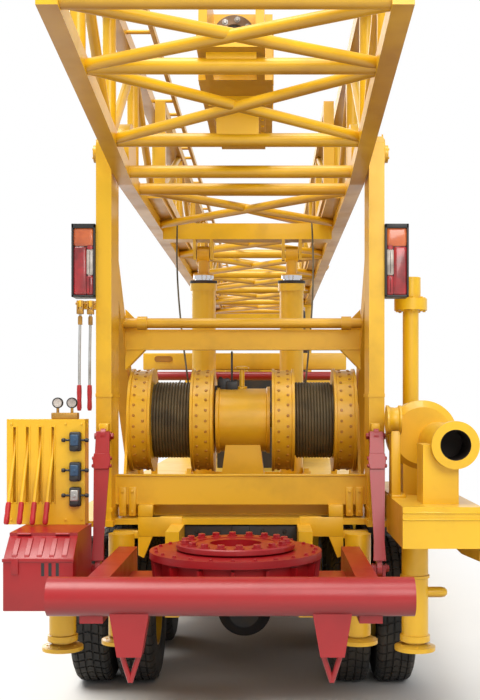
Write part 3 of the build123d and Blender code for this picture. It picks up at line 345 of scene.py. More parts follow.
# %% Floor, sky and lamps
FLOOR_HALF = 60.0
SKY_LEVEL = 0.28
floor_mesh = bpy.data.meshes.new("floor")
corners = ((-1, -1), (1, -1), (1, 1), (-1, 1))
floor_mesh.from_pydata([(x * FLOOR_HALF, y * FLOOR_HALF, 0) for x, y in corners], [], [(0, 1, 2, 3)])
floor = bpy.data.objects.new("floor", floor_mesh)
bpy.context.scene.collection.objects.link(floor)
pale = Finish("pale_floor", Roughness=0.9)
pale.set({"Base_Color": pale.mix(pale.noise(0.6, 4), colour(240, 239, 237), colour(232, 231, 229))})
along_floor = pale.axis("Y")
across_floor = pale.axis("X")
away = (across_floor * across_floor * 2.0 + (along_floor * along_floor) * 0.12) ** 0.5
camera_ray = pale.node("ShaderNodeLightPath", {}, {}, "Is Camera Ray")
share = pale.steps(away / 12.0, [(0.22, 0.0), (0.42, 1.0)]) * camera_ray
glow = pale.tree.nodes.new("ShaderNodeEmission")
blend_white = pale.tree.nodes.new("ShaderNodeMixShader")
pale.put(blend_white.inputs, {0: share})
pale.tree.links.new(pale.shader.outputs[0], blend_white.inputs[1])
pale.tree.links.new(glow.outputs[0], blend_white.inputs[2])
pale.tree.links.new(blend_white.outputs[0], pale.tree.nodes["Material Output"].inputs["Surface"])
floor_mesh.materials.append(pale.material)

world = bpy.data.worlds.new("studio_sky")
bpy.context.scene.world = world
world.use_nodes = True
sky = world.node_tree
kinds = ("LightPath", "Background", "Background", "Math", "Math", "MixShader")
rays, white, soft, seen, seen_too, sky_mix = (sky.nodes.new(f"ShaderNode{kind}") for kind in kinds)
white.inputs["Color"].default_value = (1, 1, 1, 1)
soft.inputs["Color"].default_value = (0.93, 0.96, 1.0, 1)
soft.inputs["Strength"].default_value = SKY_LEVEL
seen.operation = seen_too.operation = "MAXIMUM"
for source, target in (
    (rays.outputs["Is Camera Ray"], seen.inputs[0]), (rays.outputs["Is Glossy Ray"], seen.inputs[1]),
    (seen.outputs[0], seen_too.inputs[0]), (rays.outputs["Is Transmission Ray"], seen_too.inputs[1]),
    (seen_too.outputs[0], sky_mix.inputs[0]), (soft.outputs[0], sky_mix.inputs[1]),
    (white.outputs[0], sky_mix.inputs[2]), (sky_mix.outputs[0], sky.nodes["World Output"].inputs["Surface"]),
):
    sky.links.new(source, target)


def lamp(name, kind, place, target, size, power, tint=(1, 1, 1)):
    data = bpy.data.lights.new(name, kind)
    if kind == "SUN":
        data.angle = size
    else:
        data.size = size
    data.energy = power
    data.color = tint
    made = bpy.data.objects.new(name, data)
    made.location = place
    made.rotation_euler = (Vector(target) - Vector(place)).to_track_quat("-Z", "Y").to_euler()
    bpy.context.scene.collection.objects.link(made)


lamp("overhead", "SUN", (-3, PIVOT.y - 3, 14), (0, PIVOT.y, 0), 0.7, 3.1, (1.0, 0.98, 0.93))
lamp("behind_camera", "AREA", (3, PIVOT.y - 11, 8), (0, PIVOT.y, 2.4), 6, 700, (1.0, 0.98, 0.95))
lamp("front_fill", "AREA", (-8, PIVOT.y + 16, 8), (0, PIVOT.y + 8, 2), 7, 800)
print("floor, sky and three lamps")

# %% [markdown]
# Every added piece is real geometry. A `Shape` gathers turned, swept and flat solids in one mesh, and
# `finish_piece` makes it an object that rides on the body which carries it. Faces that meet at a sharp angle
# keep a hard edge.

# %% Mesh helpers
TURN = 2 * math.pi
UP = Vector((0, 0, 1))
RIGHT = Vector((1, 0, 0))
AHEAD = Vector((0, 1, 0))


def beside(axis):
    """Two unit vectors at right angles to an axis."""
    along = Vector(axis).normalized()
    first = (UP if abs(along.z) < 0.9 else RIGHT).cross(along).normalized()
    return first, along.cross(first)


def circle(centre, axis, radius, count, phase=0.0):
    """Points evenly spaced around an axis."""
    first, second = beside(axis)
    steps = (phase + TURN * i / count for i in range(count))
    return [Vector(centre) + first * radius * math.cos(a) + second * radius * math.sin(a) for a in steps]


class Shape:
    def __init__(self):
        self.mesh = bmesh.new()

    def loft(self, rings, closed=False):
        """Joins rings of points with faces, and closes both ends."""
        rows = [[self.mesh.verts.new(p) for p in ring] for ring in rings]
        pairs = list(zip(rows, rows[1:])) + ([(rows[-1], rows[0])] if closed else [])
        for low, high in pairs:
            for i in range(len(low)):
                k = (i + 1) % len(low)
                self.mesh.faces.new((low[i], low[k], high[k], high[i]))
        if not closed:
            self.mesh.faces.new(list(reversed(rows[0])))
            self.mesh.faces.new(rows[-1])
        return self

    def turned(self, origin, axis, profile, count=32, phase=0.0):
        """A turned solid: profile is a list of (radius, distance along the axis)."""
        along = Vector(axis).normalized()
        rings = [circle(Vector(origin) + along * s, along, max(r, 1e-5), count, phase) for r, s in profile]
        return self.loft(rings)

    def band(self, origin, axis, profile, count=48):
        """A turned ring with a hole: the profile is a closed outline."""
        along = Vector(axis).normalized()
        rings = [circle(Vector(origin) + along * s, along, r, count) for r, s in profile]
        return self.loft(rings, closed=True)

    def tube(self, points, radius, count=12):
        """A round bar along a path, turned smoothly from point to point."""
        path = [Vector(p) for p in points]
        radii = radius if isinstance(radius, (list, tuple)) else [radius] * len(path)
        before = (path[1] - path[0]).normalized()
        side, _ = beside(before)
        rings = []
        for i, (point, r) in enumerate(zip(path, radii)):
            after = (path[min(i + 1, len(path) - 1)] - path[max(i - 1, 0)]).normalized()
            side = (side - after * side.dot(after)).normalized()
            other = after.cross(side)
            angles = [TURN * k / count for k in range(count)]
            rings.append([point + side * r * math.cos(a) + other * r * math.sin(a) for a in angles])
        return self.loft(rings)

    def slab(self, low, high, edge=0.004, rounds=2):
        """A block between two corners, with its edges rounded."""
        low, high = Vector(low), Vector(high)
        made = bmesh.ops.create_cube(self.mesh, size=1.0)["verts"]
        for v in made:
            v.co = (low + high) / 2 + Vector(c * (b - a) for c, a, b in zip(v.co, low, high))
        self.round_edges(made, edge, rounds)
        return self

    def plate(self, outline, push, edge=0.0, rounds=1):
        """A flat outline of points, given a thickness."""
        push = Vector(push)
        near = [self.mesh.verts.new(Vector(p)) for p in outline]
        far = [self.mesh.verts.new(Vector(p) + push) for p in outline]
        self.mesh.faces.new(near)
        self.mesh.faces.new(list(reversed(far)))
        for i in range(len(near)):
            k = (i + 1) % len(near)
            self.mesh.faces.new((near[k], near[i], far[i], far[k]))
        if edge:
            self.round_edges(near + far, edge, rounds)
        return self

    def round_edges(self, verts, edge, rounds):
        if edge:
            edges = {e for v in verts for e in v.link_edges}
            bmesh.ops.bevel(
                self.mesh, geom=list(edges), offset=edge, segments=rounds, profile=0.5, affect="EDGES"
            )

    def bolt(self, at, axis, size, washer=True):
        """A hexagon head on its washer. The size is half the width of the head."""
        if washer:
            self.turned(at, axis, [(size * 1.35, 0), (size * 1.35, size * 0.22), (size * 0.9, size * 0.24)], 14)
        head = [(size, size * 0.1), (size, size * 0.85), (size * 0.8, size), (0, size)]
        return self.turned(at, axis, head, 6)

    def bolts(self, places, axis, size):
        for place in places:
            self.bolt(place, axis, size)
        return self

    def mirrored(self):
        """Adds the same geometry on the other side of the rig."""
        twin = bmesh.ops.duplicate(self.mesh, geom=self.mesh.verts[:] + self.mesh.edges[:] + self.mesh.faces[:])
        for v in (g for g in twin["geom"] if isinstance(g, bmesh.types.BMVert)):
            v.co.x = -v.co.x
        return self


def finish_piece(shape, name, material, body="root", replaced=(), angle=38):
    """Turns a shape into an object that rides on a body, if one is named."""
    bmesh.ops.remove_doubles(shape.mesh, verts=shape.mesh.verts[:], dist=2e-5)
    bmesh.ops.dissolve_degenerate(shape.mesh, edges=shape.mesh.edges[:], dist=1e-6)
    bmesh.ops.recalc_face_normals(shape.mesh, faces=shape.mesh.faces[:])
    for edge in shape.mesh.edges:
        edge.smooth = edge.calc_face_angle(0.0) < math.radians(angle)
    for face in shape.mesh.faces:
        face.smooth = True
    data = bpy.data.meshes.new(name)
    shape.mesh.to_mesh(data)
    shape.mesh.free()
    data.materials.append(material)
    made = bpy.data.objects.new(name, data)
    bpy.context.scene.collection.objects.link(made)
    if body:
        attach(made, body)
    if replaced:
        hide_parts(*replaced)
    print(name, len(data.polygons), "faces on", body)
    return made


SIDES = (("left", -1), ("right", 1))

# %% [markdown]
# The tail lamps show amber at the top, then red, with a narrow white reversing strip on the inner side. Each
# is a black tub with a raised rim, and the lenses sit inside the rim with crowned faces, so that they catch
# the light.

# %% Tail lamps
lamp_low, lamp_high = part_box("tail_lamps")
LAMP_WIDE, LAMP_RIM, LAMP_HOOD = 0.1597, 0.014, 0.03
LENS_SEAT, LENS_DEEP, LENS_CROWN = 0.03, 0.018, 0.008
LENS_GAP = 0.002


def crowned(shape, x0, x1, z0, z1, y_back):
    """A lens: a shallow cushion with a domed face towards the road behind."""
    corner, front = 0.008, y_back - LENS_DEEP
    rows = []
    for inset, y in ((0, y_back), (0, front), (0.006, front - LENS_CROWN * 0.7), (0.016, front - LENS_CROWN)):
        a0, a1, b0, b1 = x0 + inset, x1 - inset, z0 + inset, z1 - inset
        rows.append([Vector((x, y, z)) for x, z in (
            (a0 + corner, b0), (a1 - corner, b0), (a1, b0 + corner), (a1, b1 - corner),
            (a1 - corner, b1), (a0 + corner, b1), (a0, b1 - corner), (a0, b0 + corner))])
    shape.loft(rows)


for side, sign in SIDES:
    x_in, x_out = lamp_high.x - LAMP_WIDE, lamp_high.x
    tub = Shape()
    y_back, y_face = lamp_high.y, lamp_low.y
    tub.slab((x_in, y_face + 0.02, lamp_low.z), (x_out, y_back, lamp_high.z), 0.006)
    for x0, x1, z0, z1 in (
        (x_in, x_in + LAMP_RIM, lamp_low.z, lamp_high.z), (x_out - LAMP_RIM, x_out, lamp_low.z, lamp_high.z),
        (x_in, x_out, lamp_low.z, lamp_low.z + LAMP_RIM), (x_in, x_out, lamp_high.z - LAMP_HOOD, lamp_high.z),
    ):
        tub.slab((x0, y_face, z0), (x1, y_face + 0.03, z1), 0.003)
    amber, red, pale_strip = Shape(), Shape(), Shape()
    a0, a1 = x_in + LAMP_RIM, x_out - LAMP_RIM
    z0, z1 = lamp_low.z + LAMP_RIM, lamp_high.z - LAMP_HOOD
    split = z0 + (z1 - z0) * 0.73
    strip = a0 + (a1 - a0) * 0.34
    for shape, low_x, high_x, low_z, high_z in (
        (amber, a0, a1, split + LENS_GAP, z1), (red, strip + LENS_GAP, a1, z0, split - LENS_GAP),
        (red, a0, strip, z0, z0 + 0.13), (red, a0, strip, z0 + 0.31, split - LENS_GAP),
        (pale_strip, a0, strip, z0 + 0.133, z0 + 0.307),
    ):
        crowned(shape, low_x, high_x, low_z, high_z, y_face + LENS_SEAT)
    for shape in (tub, amber, red, pale_strip):
        if sign < 0:
            for v in shape.mesh.verts:
                v.co.x = -v.co.x
    tub = finish_piece(tub, f"lamp_tub_{side}", PLASTIC)
    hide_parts("tail_lamps")
    finish_piece(amber, f"lamp_amber_{side}", LENS_AMBER)
    finish_piece(red, f"lamp_red_{side}", LENS_RED)
    finish_piece(pale_strip, f"lamp_reverse_{side}", LENS_WHITE)

# %% [markdown]
# Each drum has two brake rims. Their linings are bolted through in two rows, set half a step apart. The wire
# rope is wound in close turns. It is made as one long helix, because a scored cylinder shows no rope at its
# outline.

# %% Drums: lining bolts and wound rope
DRUM_AXIS = Vector((0, joint["drum_right_spin"]["pos_m"][1], joint["drum_right_spin"]["pos_m"][2]))
rim_low, rim_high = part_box("drum_right")
rope_low, rope_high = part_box("rope_right")
BRAKE_R = rim_high.z - DRUM_AXIS.z
ROPE_R = rope_high.z - DRUM_AXIS.z
LINING_R = BRAKE_R - 0.014
ROPE_WIRE_R = 0.0115
BOLTS_ROUND = 30
for side, sign in SIDES:
    heads = Shape()
    for start, end in ((rim_low.x, rope_low.x), (rope_high.x, rim_high.x)):
        for row, share in enumerate((0.3, 0.7)):
            x = start + (end - start) * share
            for step in range(BOLTS_ROUND):
                turn = TURN * (step + row / 2) / BOLTS_ROUND
                out = Vector((0, math.cos(turn), math.sin(turn)))
                place = DRUM_AXIS + out * (LINING_R - 0.001) + RIGHT * x * sign
                heads.turned(place, out, [(0.011, 0), (0.011, 0.004), (0.008, 0.007), (0, 0.007)], 8)
    finish_piece(heads, f"lining_bolts_{side}", YELLOW_DARK, f"drum_{side[0]}")
    wound = Shape()
    turns = int((rope_high.x - rope_low.x - 0.002) / (2 * ROPE_WIRE_R))
    run = (rope_high.x - rope_low.x) - 2 * ROPE_WIRE_R
    steps = turns * 40
    line_r = ROPE_R - ROPE_WIRE_R
    path = []
    for i in range(steps + 1):
        turn = TURN * i / 40
        x = rope_low.x + ROPE_WIRE_R + run * i / steps
        path.append((sign * x, DRUM_AXIS.y + line_r * math.cos(turn), DRUM_AXIS.z + line_r * math.sin(turn)))
    wound.tube(path, ROPE_WIRE_R * 1.04, 8)
    core = [(line_r - 0.006, 0), (line_r - 0.006, rope_high.x - rope_low.x)]
    wound.turned(DRUM_AXIS + RIGHT * sign * rope_low.x, RIGHT * sign, core, 48)
    finish_piece(wound, f"wound_rope_{side}", ROPE, f"drum_{side[0]}", replaced=[f"rope_{side}"], angle=60)

# %% [markdown]
# The rotary table's turning ring carries eighteen large hexagon bolts round its opening. The ring and its
# bolts ride on the table's body, so that they turn with it. Small bolts close the fixed flange below.

# %% Rotary table ring
TABLE = Vector(joint["table_spin"]["pos_m"])
table_low, table_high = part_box("rotary_table")
RING_R = 0.34
RING_BOLTS_R = 0.295
ring_base = Vector((0, TABLE.y, table_high.z))
ring = Shape()
ring.band(
    ring_base, UP,
    [
        (0.23, 0.006), (RING_R, 0.006), (RING_R + 0.006, 0.012), (RING_R + 0.006, 0.036), (RING_R, 0.042),
        (0.23, 0.042)
    ]
)
ring.bolts(circle(ring_base + UP * 0.042, UP, RING_BOLTS_R, 18, 0.1), UP, 0.0235)
finish_piece(ring, "table_turning_ring", RED, "table")
flange = Shape()
flange.bolts(circle(ring_base, UP, 0.465, 24), UP, 0.011)
flange.band(ring_base - UP * 0.17, UP, [(0.449, 0), (0.462, 0.004), (0.462, 0.016), (0.449, 0.02)])
flange.turned(
    ring_base + Vector((0.33, 0.28, 0)), UP,
    [(0.02, 0), (0.02, 0.012), (0.012, 0.014), (0.012, 0.024), (0, 0.024)], 6
)
for step in range(16):
    turn = TURN * step / 16
    out = Vector((math.cos(turn), math.sin(turn), 0))
    across = Vector((-out.y, out.x, 0)) * 0.008
    foot = Vector((0, TABLE.y, table_low.z)) + out * 0.449
    flange.plate(
        [
            foot - across, foot + out * 0.03 - across, foot + out * 0.045 + UP * 0.145 - across,
            foot + UP * 0.145 - across
        ], across * 2
    )
finish_piece(flange, "table_flange_trim", RED)

# %% [markdown]
# At the control panel the driller holds four long levers with red grips. Beside them are three valve knobs,
# and on top a brass block with two gauges. A grip is a turned bead string, which a plain cylinder can't
# imitate.

# %% Control panel
panel_low, panel_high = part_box("control_panel")
PANEL_FACE = PIVOT.y - 0.64
LEVER_TOP = Vector((-1.400, PANEL_FACE + 0.040, 1.980))
LEVER_END = Vector((-1.430, PANEL_FACE - 0.090, 1.440))
LEVER_STEP = 0.08
grips = Shape()
along = (LEVER_END - LEVER_TOP).normalized()
for number in range(4):
    end = LEVER_END + RIGHT * LEVER_STEP * number
    grip = [
        (0.011, -0.13), (0.016, -0.125), (0.0175, -0.09), (0.0155, -0.06), (0.0175, -0.03), (0.017, 0),
        (0.012, 0.009), (0, 0.011)
    ]
    grips.turned(end, along, grip, 20)
finish_piece(grips, "lever_grips", GRIP)
guides = Shape()
for number in range(4):
    x = LEVER_TOP.x + LEVER_STEP * number
    for low_x, high_x in ((x - 0.017, x - 0.009), (x + 0.009, x + 0.017)):
        guides.slab((low_x, PANEL_FACE - 0.006, 1.55), (high_x, PANEL_FACE + 0.001, 2.04), 0.002, 1)
for x in (panel_low.x + 0.03, -1.08, panel_high.x - 0.02):
    for z in (panel_low.z + 0.03, panel_high.z - 0.03):
        guides.bolt((x, PANEL_FACE, z), -AHEAD, 0.007)
finish_piece(guides, "lever_guides", YELLOW)


def pixel_place(column, row, y):
    """The point at a given depth that the camera sees at a pixel of the picture."""
    depth = (y - CAMERA_AT.y) / FOCAL_PIXELS
    x = CAMERA_AT.x + (column - VANISHING_POINT[0]) * depth
    return Vector((x, y, CAMERA_AT.z - (row - VANISHING_POINT[1]) * depth))


VALVES = (
    ("valve_upper", 440, BLUE, "black_plastic"), ("valve_middle", 470, BLUE, "black_plastic"),
    ("valve_lower", 495, STEEL, "steel")
)
for name, row, cap_finish, slot in VALVES:
    place = pixel_place(76, row, PANEL_FACE)
    body, cap = Shape(), Shape()
    body.slab(place + Vector((-0.036, -0.045, -0.07)), place + Vector((0.036, 0.002, 0.052)), 0.012, 3)
    body.turned(
        place - RIGHT * 0.085 - AHEAD * 0.03, RIGHT,
        [
            (0.009, 0), (0.013, 0.006), (0.013, 0.02), (0.007, 0.026), (0.007, 0.144), (0.013, 0.15),
            (0.013, 0.164), (0.009, 0.17)
        ], 12
    )
    body.turned(
        place - UP * 0.045 - AHEAD * 0.044, -AHEAD, [(0.026, 0), (0.026, 0.01), (0.018, 0.016), (0, 0.016)], 14
    )
    cap.slab(place + Vector((-0.026, -0.066, -0.034)), place + Vector((0.026, -0.04, 0.036)), 0.008, 3)
    cap.turned(place - AHEAD * 0.065, -AHEAD, [(0.013, 0), (0.012, 0.004), (0.006, 0.006), (0, 0.006)], 12)
    finish_piece(body, f"{name}_body", PLASTIC)
    finish_piece(cap, f"{name}_cap", cap_finish)
gauge_block = Shape()
gauge_block.slab(
    (-1.175, PANEL_FACE + 0.015, panel_high.z), (-1.01, PANEL_FACE + 0.085, panel_high.z + 0.04), 0.005
)
for x in (-1.14, -1.05):
    gauge_block.turned(
        (x, PANEL_FACE + 0.05, panel_high.z + 0.04), UP, [(0.009, 0), (0.009, 0.03), (0, 0.03)], 10
    )
finish_piece(gauge_block, "gauge_manifold", BRASS)
gauges, dials = Shape(), Shape()
for x in (-1.14, -1.05):
    centre_z = panel_high.z + 0.04 + 0.062
    gauges.turned(
        (x, PANEL_FACE + 0.065, centre_z), -AHEAD,
        [(0.03, 0), (0.034, 0.004), (0.034, 0.026), (0.031, 0.03), (0.028, 0.03), (0.028, 0.024), (0, 0.024)],
        24
    )
    dials.turned((x, PANEL_FACE + 0.0405, centre_z), -AHEAD, [(0.0275, 0), (0.0275, 0.001), (0, 0.001)], 24)
    dials.plate(
        [
            (x - 0.002, PANEL_FACE + 0.039, centre_z), (x + 0.002, PANEL_FACE + 0.039, centre_z),
            (x + 0.013, PANEL_FACE + 0.039, centre_z + 0.018)
        ], (0, -0.001, 0)
    )
finish_piece(gauges, "gauge_cases", PLASTIC)
finish_piece(dials, "gauge_dials", LENS_WHITE)

# %% [markdown]
# Two long hand levers hang beside the left post. A forked brass joint holds the top of each, and a red grip
# ends it.

# %% Hanging levers
POST_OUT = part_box("tail_lamps")[1].x - 0.16
for number, (x, y) in enumerate(((-0.925 - 0.07, PIVOT.y - 0.23), (-1.06, PIVOT.y - 0.25))):
    rod = Shape()
    rod.tube([(x, y, 2.78), (x - 0.004, y - 0.006, 2.5), (x - 0.004, y - 0.012, 2.28)], 0.009, 12)
    finish_piece(rod, f"hanging_lever_{number + 1}", STEEL)
    fork = Shape()
    fork.slab((x - 0.022, y - 0.018, 2.77), (x + 0.022, y + 0.018, 2.80), 0.003)
    for dx in (-0.022, 0.012):
        fork.slab((x + dx, y - 0.018, 2.79), (x + dx + 0.010, y + 0.018, 2.86), 0.003)
    fork.turned((x - 0.03, y, 2.84), RIGHT, [(0.008, 0), (0.008, 0.06), (0, 0.06)], 12)
    fork.turned((x, y, 2.70), UP, [(0.016, 0), (0.016, 0.05), (0.009, 0.06), (0, 0.06)], 6)
    finish_piece(fork, f"lever_joint_{number + 1}", BRASS)
    arm = Shape()
    arm.slab((x - 0.011, y - 0.012, 2.815), (x + 0.011, y + 0.12, 2.862), 0.003)
    arm.slab((min(x, -0.99) - 0.03, y + 0.09, 2.81), (-POST_OUT + 0.004, y + 0.13, 2.866), 0.003)
    finish_piece(arm, f"lever_arm_{number + 1}", YELLOW)
    grip = Shape()
    grip.turned(
        (x - 0.004, y - 0.012, 2.3), -UP,
        [(0.010, 0), (0.015, 0.004), (0.0165, 0.05), (0.0145, 0.1), (0.0165, 0.15), (0.012, 0.17), (0, 0.172)],
        18
    )
    finish_piece(grip, f"lever_handle_{number + 1}", GRIP)

# %% [markdown]
# The red side links hang between the posts and the jack beam. A clamp with two pins crosses each link near
# its top, and bolt heads close the pins. The tool box beside the left link has a ribbed lid, and its three
# slots are flat black strips, painted shade for the openings.

# %% Side links and tool box
LINK_X = 0.9
LINK_TOP = Vector((LINK_X, PIVOT.y - 0.255, 1.96))
LINK_FOOT = Vector((LINK_X, PIVOT.y - 0.48, 1.12))
link_down = (LINK_FOOT - LINK_TOP).normalized()
link_out = Vector((0, link_down.z, -link_down.y))
PIN_HEADS = [
    (0.009, 0), (0.013, 0.004), (0.013, 0.016), (0.008, 0.018), (0.008, 0.112), (0.013, 0.114), (0.013, 0.126),
    (0.009, 0.13)
]
link_trim = Shape()
for centre in (LINK_TOP, LINK_FOOT):
    link_trim.bolt(centre + RIGHT * 0.04, RIGHT, 0.024)
    link_trim.bolt(centre - RIGHT * 0.04, -RIGHT, 0.024)
link_trim.plate(
    [
        LINK_TOP + RIGHT * x + link_out * 0.046 + link_down * z
        for x, z in (
            (-0.046, -0.02), (0.046, -0.02), (0.05, 0.24), (0.034, 0.7), (0.042, 0.83), (-0.042, 0.83),
            (-0.034, 0.7), (-0.05, 0.24)
        )
    ], link_out * 0.012, 0.003
)
for drop in (0.16, 0.21):
    pin = LINK_TOP + link_down * drop + link_out * 0.05
    link_trim.turned(pin - RIGHT * 0.065, RIGHT, PIN_HEADS, 12)
link_trim.plate(
    [
        LINK_TOP + RIGHT * x + link_out * 0.058 + link_down * z
        for x, z in ((-0.052, 0.13), (0.052, 0.13), (0.058, 0.18), (0.05, 0.235), (-0.05, 0.235), (-0.058, 0.18))
    ], link_out * 0.01, 0.003
)
link_trim.mirrored()
finish_piece(link_trim, "side_link_trim", RED)
tips = Shape()
tips.slab(LINK_TOP + Vector((-0.032, -0.035, 0.03)), LINK_TOP + Vector((0.03, 0.06, 0.085)), 0.008)
tips.mirrored()
finish_piece(tips, "side_link_tips", YELLOW)
BOX_LEFT, BOX_RIGHT = -1.332, -0.928
BOX_FACE = PIVOT.y - 1.202
lid_low, lid_high = Vector((0, BOX_FACE, 1.28)), Vector((0, PIVOT.y - 1.051, 1.405))
lid_run = lid_high - lid_low
lid_up = Vector((0, -lid_run.z, lid_run.y)).normalized()
tool_box = Shape()
tool_box.plate(
    [
        (BOX_LEFT, y, z)
        for y, z in ((BOX_FACE, 0.988), (BOX_FACE, 1.28), (lid_high.y, 1.405), (lid_high.y, 0.988))
    ], (BOX_RIGHT - BOX_LEFT, 0, 0), 0.006, 2
)
for x in (BOX_LEFT + 0.045 + number * 0.072 for number in range(5)):
    rib = [
        Vector((x, 0, 0)) + lid_low + lid_run * share + lid_up * rise
        for share, rise in ((0.1, -0.002), (0.2, 0.007), (0.85, 0.007), (0.95, -0.002))
    ]
    tool_box.plate(rib, (0.03, 0, 0), 0.002)
tool_box.slab((BOX_LEFT - 0.004, BOX_FACE - 0.006, 1.27), (BOX_RIGHT + 0.004, BOX_FACE + 0.01, 1.29), 0.003)
tool_box.slab((BOX_LEFT + 0.05, BOX_FACE - 0.01, 1.2), (BOX_LEFT + 0.09, BOX_FACE, 1.29), 0.003)
for x in (BOX_LEFT + 0.05, BOX_RIGHT - 0.13):
    tool_box.turned((x, lid_high.y - 0.002, 1.412), RIGHT, [(0.009, 0), (0.009, 0.08), (0, 0.08)], 12)
finish_piece(tool_box, "tool_box_front", RED)
# The three slots are thin black slabs on the box face: painted shade where the openings would be.
slot_shade = Shape()
for x in (-1.112, -1.07, -1.028):
    slot_shade.slab((x, BOX_FACE - 0.0015, 1.19), (x + 0.018, BOX_FACE + 0.002, 1.265), 0.0, 0)
finish_piece(slot_shade, "tool_box_slot_shade", PLASTIC)

# %% [markdown]
# The pump is a casting in two halves, bolted round its rim. Pipe flanges carry eight or twelve bolts each.

# %% Pump and pipe bolts
PUMP = Vector((1.215, PIVOT.y - 0.27, 1.963))
ELBOW = Vector((1.31, PIVOT.y - 0.95, 1.93))
VENT = Vector((1.19, PIVOT.y + 0.17, 2.83))
pump_bolts = Shape()
pump_bolts.bolts(circle(PUMP + AHEAD * 0.04, AHEAD, 0.212, 16), -AHEAD, 0.011)
pump_bolts.bolts(circle(ELBOW + AHEAD * 0.06, AHEAD, 0.129, 12), AHEAD, 0.01)
pump_bolts.bolts(circle(VENT + UP * 0.08, UP, 0.094, 8), UP, 0.012)
pump_bolts.bolts(circle(VENT, UP, 0.094, 8), -UP, 0.012)
finish_piece(pump_bolts, "pump_bolts", YELLOW)
bore = Shape()
bore.band(ELBOW - AHEAD * 0.0005, AHEAD, [(0.0925, 0.002), (0.0925, 0.31), (0.0905, 0.31), (0.0905, 0.002)])
bore.turned(ELBOW + AHEAD * 0.3, AHEAD, [(0.0905, 0), (0.0905, 0.004), (0, 0.004)], 48)
finish_piece(bore, "pipe_bore_scale", BLACK_IRON)

# %% [markdown]
# The drilling head lies in the mast foot. Its spindle flange faces the road behind: an oily steel ring with
# eight bright bolts round a dark seal. A cover plate with bolts closes the gearbox below.

# %% Drilling head
SPINDLE = Vector((0, PIVOT.y - 1.355, 4.23))  # the face of the flange, where the spindle_socket mount is
head_trim = Shape()
head_trim.band(SPINDLE + AHEAD * 0.001, -AHEAD, [(0.047, 0), (0.061, 0), (0.06, 0.012), (0.048, 0.012)])
finish_piece(head_trim, "head_flange_trim", CAST, "head")
head_ring = Shape()
head_ring.band(SPINDLE + AHEAD * 0.001, -AHEAD,
               [(0.063, 0), (0.117, 0), (0.117, 0.011), (0.114, 0.015), (0.066, 0.015), (0.063, 0.012)])
finish_piece(head_ring, "head_flange_ring", OILY_STEEL, "head")
head_bolts = Shape()
head_bolts.bolts(circle(SPINDLE - AHEAD * 0.014, AHEAD, 0.091, 8, 0.2), -AHEAD, 0.012)
finish_piece(head_bolts, "head_flange_bolts", STEEL, "head")
head_cover = Shape()
head_cover.slab((-0.17, PIVOT.y - 0.52, 4.042), (0.17, PIVOT.y + 0.2, 4.052), 0.003)
for x in (-0.15, 0.15):
    for y in (-0.49, -0.32, -0.16, 0.01, 0.17):
        head_cover.bolt((x, PIVOT.y + y, 4.042), -UP, 0.011)
for y in (-1.0, -0.6, -0.2):
    for x in (-0.2155, 0.2155):
        head_cover.slab(
            (min(x, x * 1.03), PIVOT.y + y, 4.07), (max(x, x * 1.03), PIVOT.y + y + 0.03, 4.41), 0.003
        )
finish_piece(head_cover, "head_cover", YELLOW, "head")

# %% [markdown]
# A ladder runs along the left side of the mast, for the crew when the mast stands. Its rungs reach from the
# side truss to one flat rail.

# %% Mast ladder and joints
mast_low, mast_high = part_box("mast_sides")
RUNG_STEP = 0.4
ladder = Shape()
ladder.slab((-0.585, mast_low.y + 0.1, 4.6), (-0.555, mast_high.y - 0.15, 4.65), 0.004, 1)
rungs = int((mast_high.y - mast_low.y - 0.5) / RUNG_STEP)
for number in range(rungs):
    y = mast_low.y + 0.25 + RUNG_STEP * number
    ladder.turned((-0.76, y, 4.625), RIGHT, [(0.014, 0), (0.014, 0.18)], 10)
finish_piece(ladder, "mast_ladder", YELLOW, "mast")
joints = Shape()
for y in (PIVOT.y + 4.7, PIVOT.y + 10.0):
    for z in (3.68, 4.58):
        joints.slab((0.843, y - 0.12, z), (0.853, y + 0.12, z + 0.1), 0.002, 1)
        for dy in (-0.09, -0.03, 0.03, 0.09):
            for dz in (0.025, 0.075):
                joints.bolt((0.853, y + dy, z + dz), RIGHT, 0.012)
joints.mirrored()
finish_piece(joints, "mast_joint_plates", YELLOW, "mast")

# %% [markdown]
# The mast turns on two pins at the top of the posts. A round boss stands round each pin, and three bolts
# close the pin's end. Small gussets stiffen the corners where the box beam meets the posts.

# %% Pivot bosses and gussets
POST_FACE, POST_INNER = 0.969, 0.866
BEAM_TOP = 1.68
BOX_BEAM_LOW, BOX_BEAM_HIGH = 2.57, 2.72
GUSSET_RISE = 0.15
boss = Shape()
boss.band(PIVOT + RIGHT * (POST_FACE - 0.001), RIGHT, [(0.063, 0), (0.11, 0), (0.106, 0.014), (0.063, 0.014)])
boss.bolts(circle(PIVOT + RIGHT * POST_FACE, RIGHT, 0.128, 6, 0.5), RIGHT, 0.009)
for height, rise in ((BOX_BEAM_HIGH, GUSSET_RISE), (BOX_BEAM_LOW, -GUSSET_RISE)):
    for y in (PIVOT.y + 0.52, PIVOT.y + 0.585):
        boss.plate([(0.867, y, height), (0.72, y, height), (0.867, y, height + rise)], (0, 0.012, 0), 0.002)
boss.mirrored()
boss.slab(
    (-POST_INNER, PIVOT.y + 0.012, BEAM_TOP - 0.006), (POST_INNER, PIVOT.y + 0.03, BEAM_TOP + 0.008), 0.003
)
finish_piece(boss, "pivot_bosses", YELLOW)
keeper = Shape()
keeper.bolts(circle(PIVOT + RIGHT * 1.009, RIGHT, 0.034, 3), RIGHT, 0.009)
keeper.mirrored()
finish_piece(keeper, "pivot_keepers", YELLOW, "mast")

# %% [markdown]
# Below the box beam, yellow steps end the chassis on both sides of the table. Their faces carry clamps with
# bolts, and a tapered web runs down to the table bed. They stay clear of the mast foot, which comes down here
# when the mast stands.

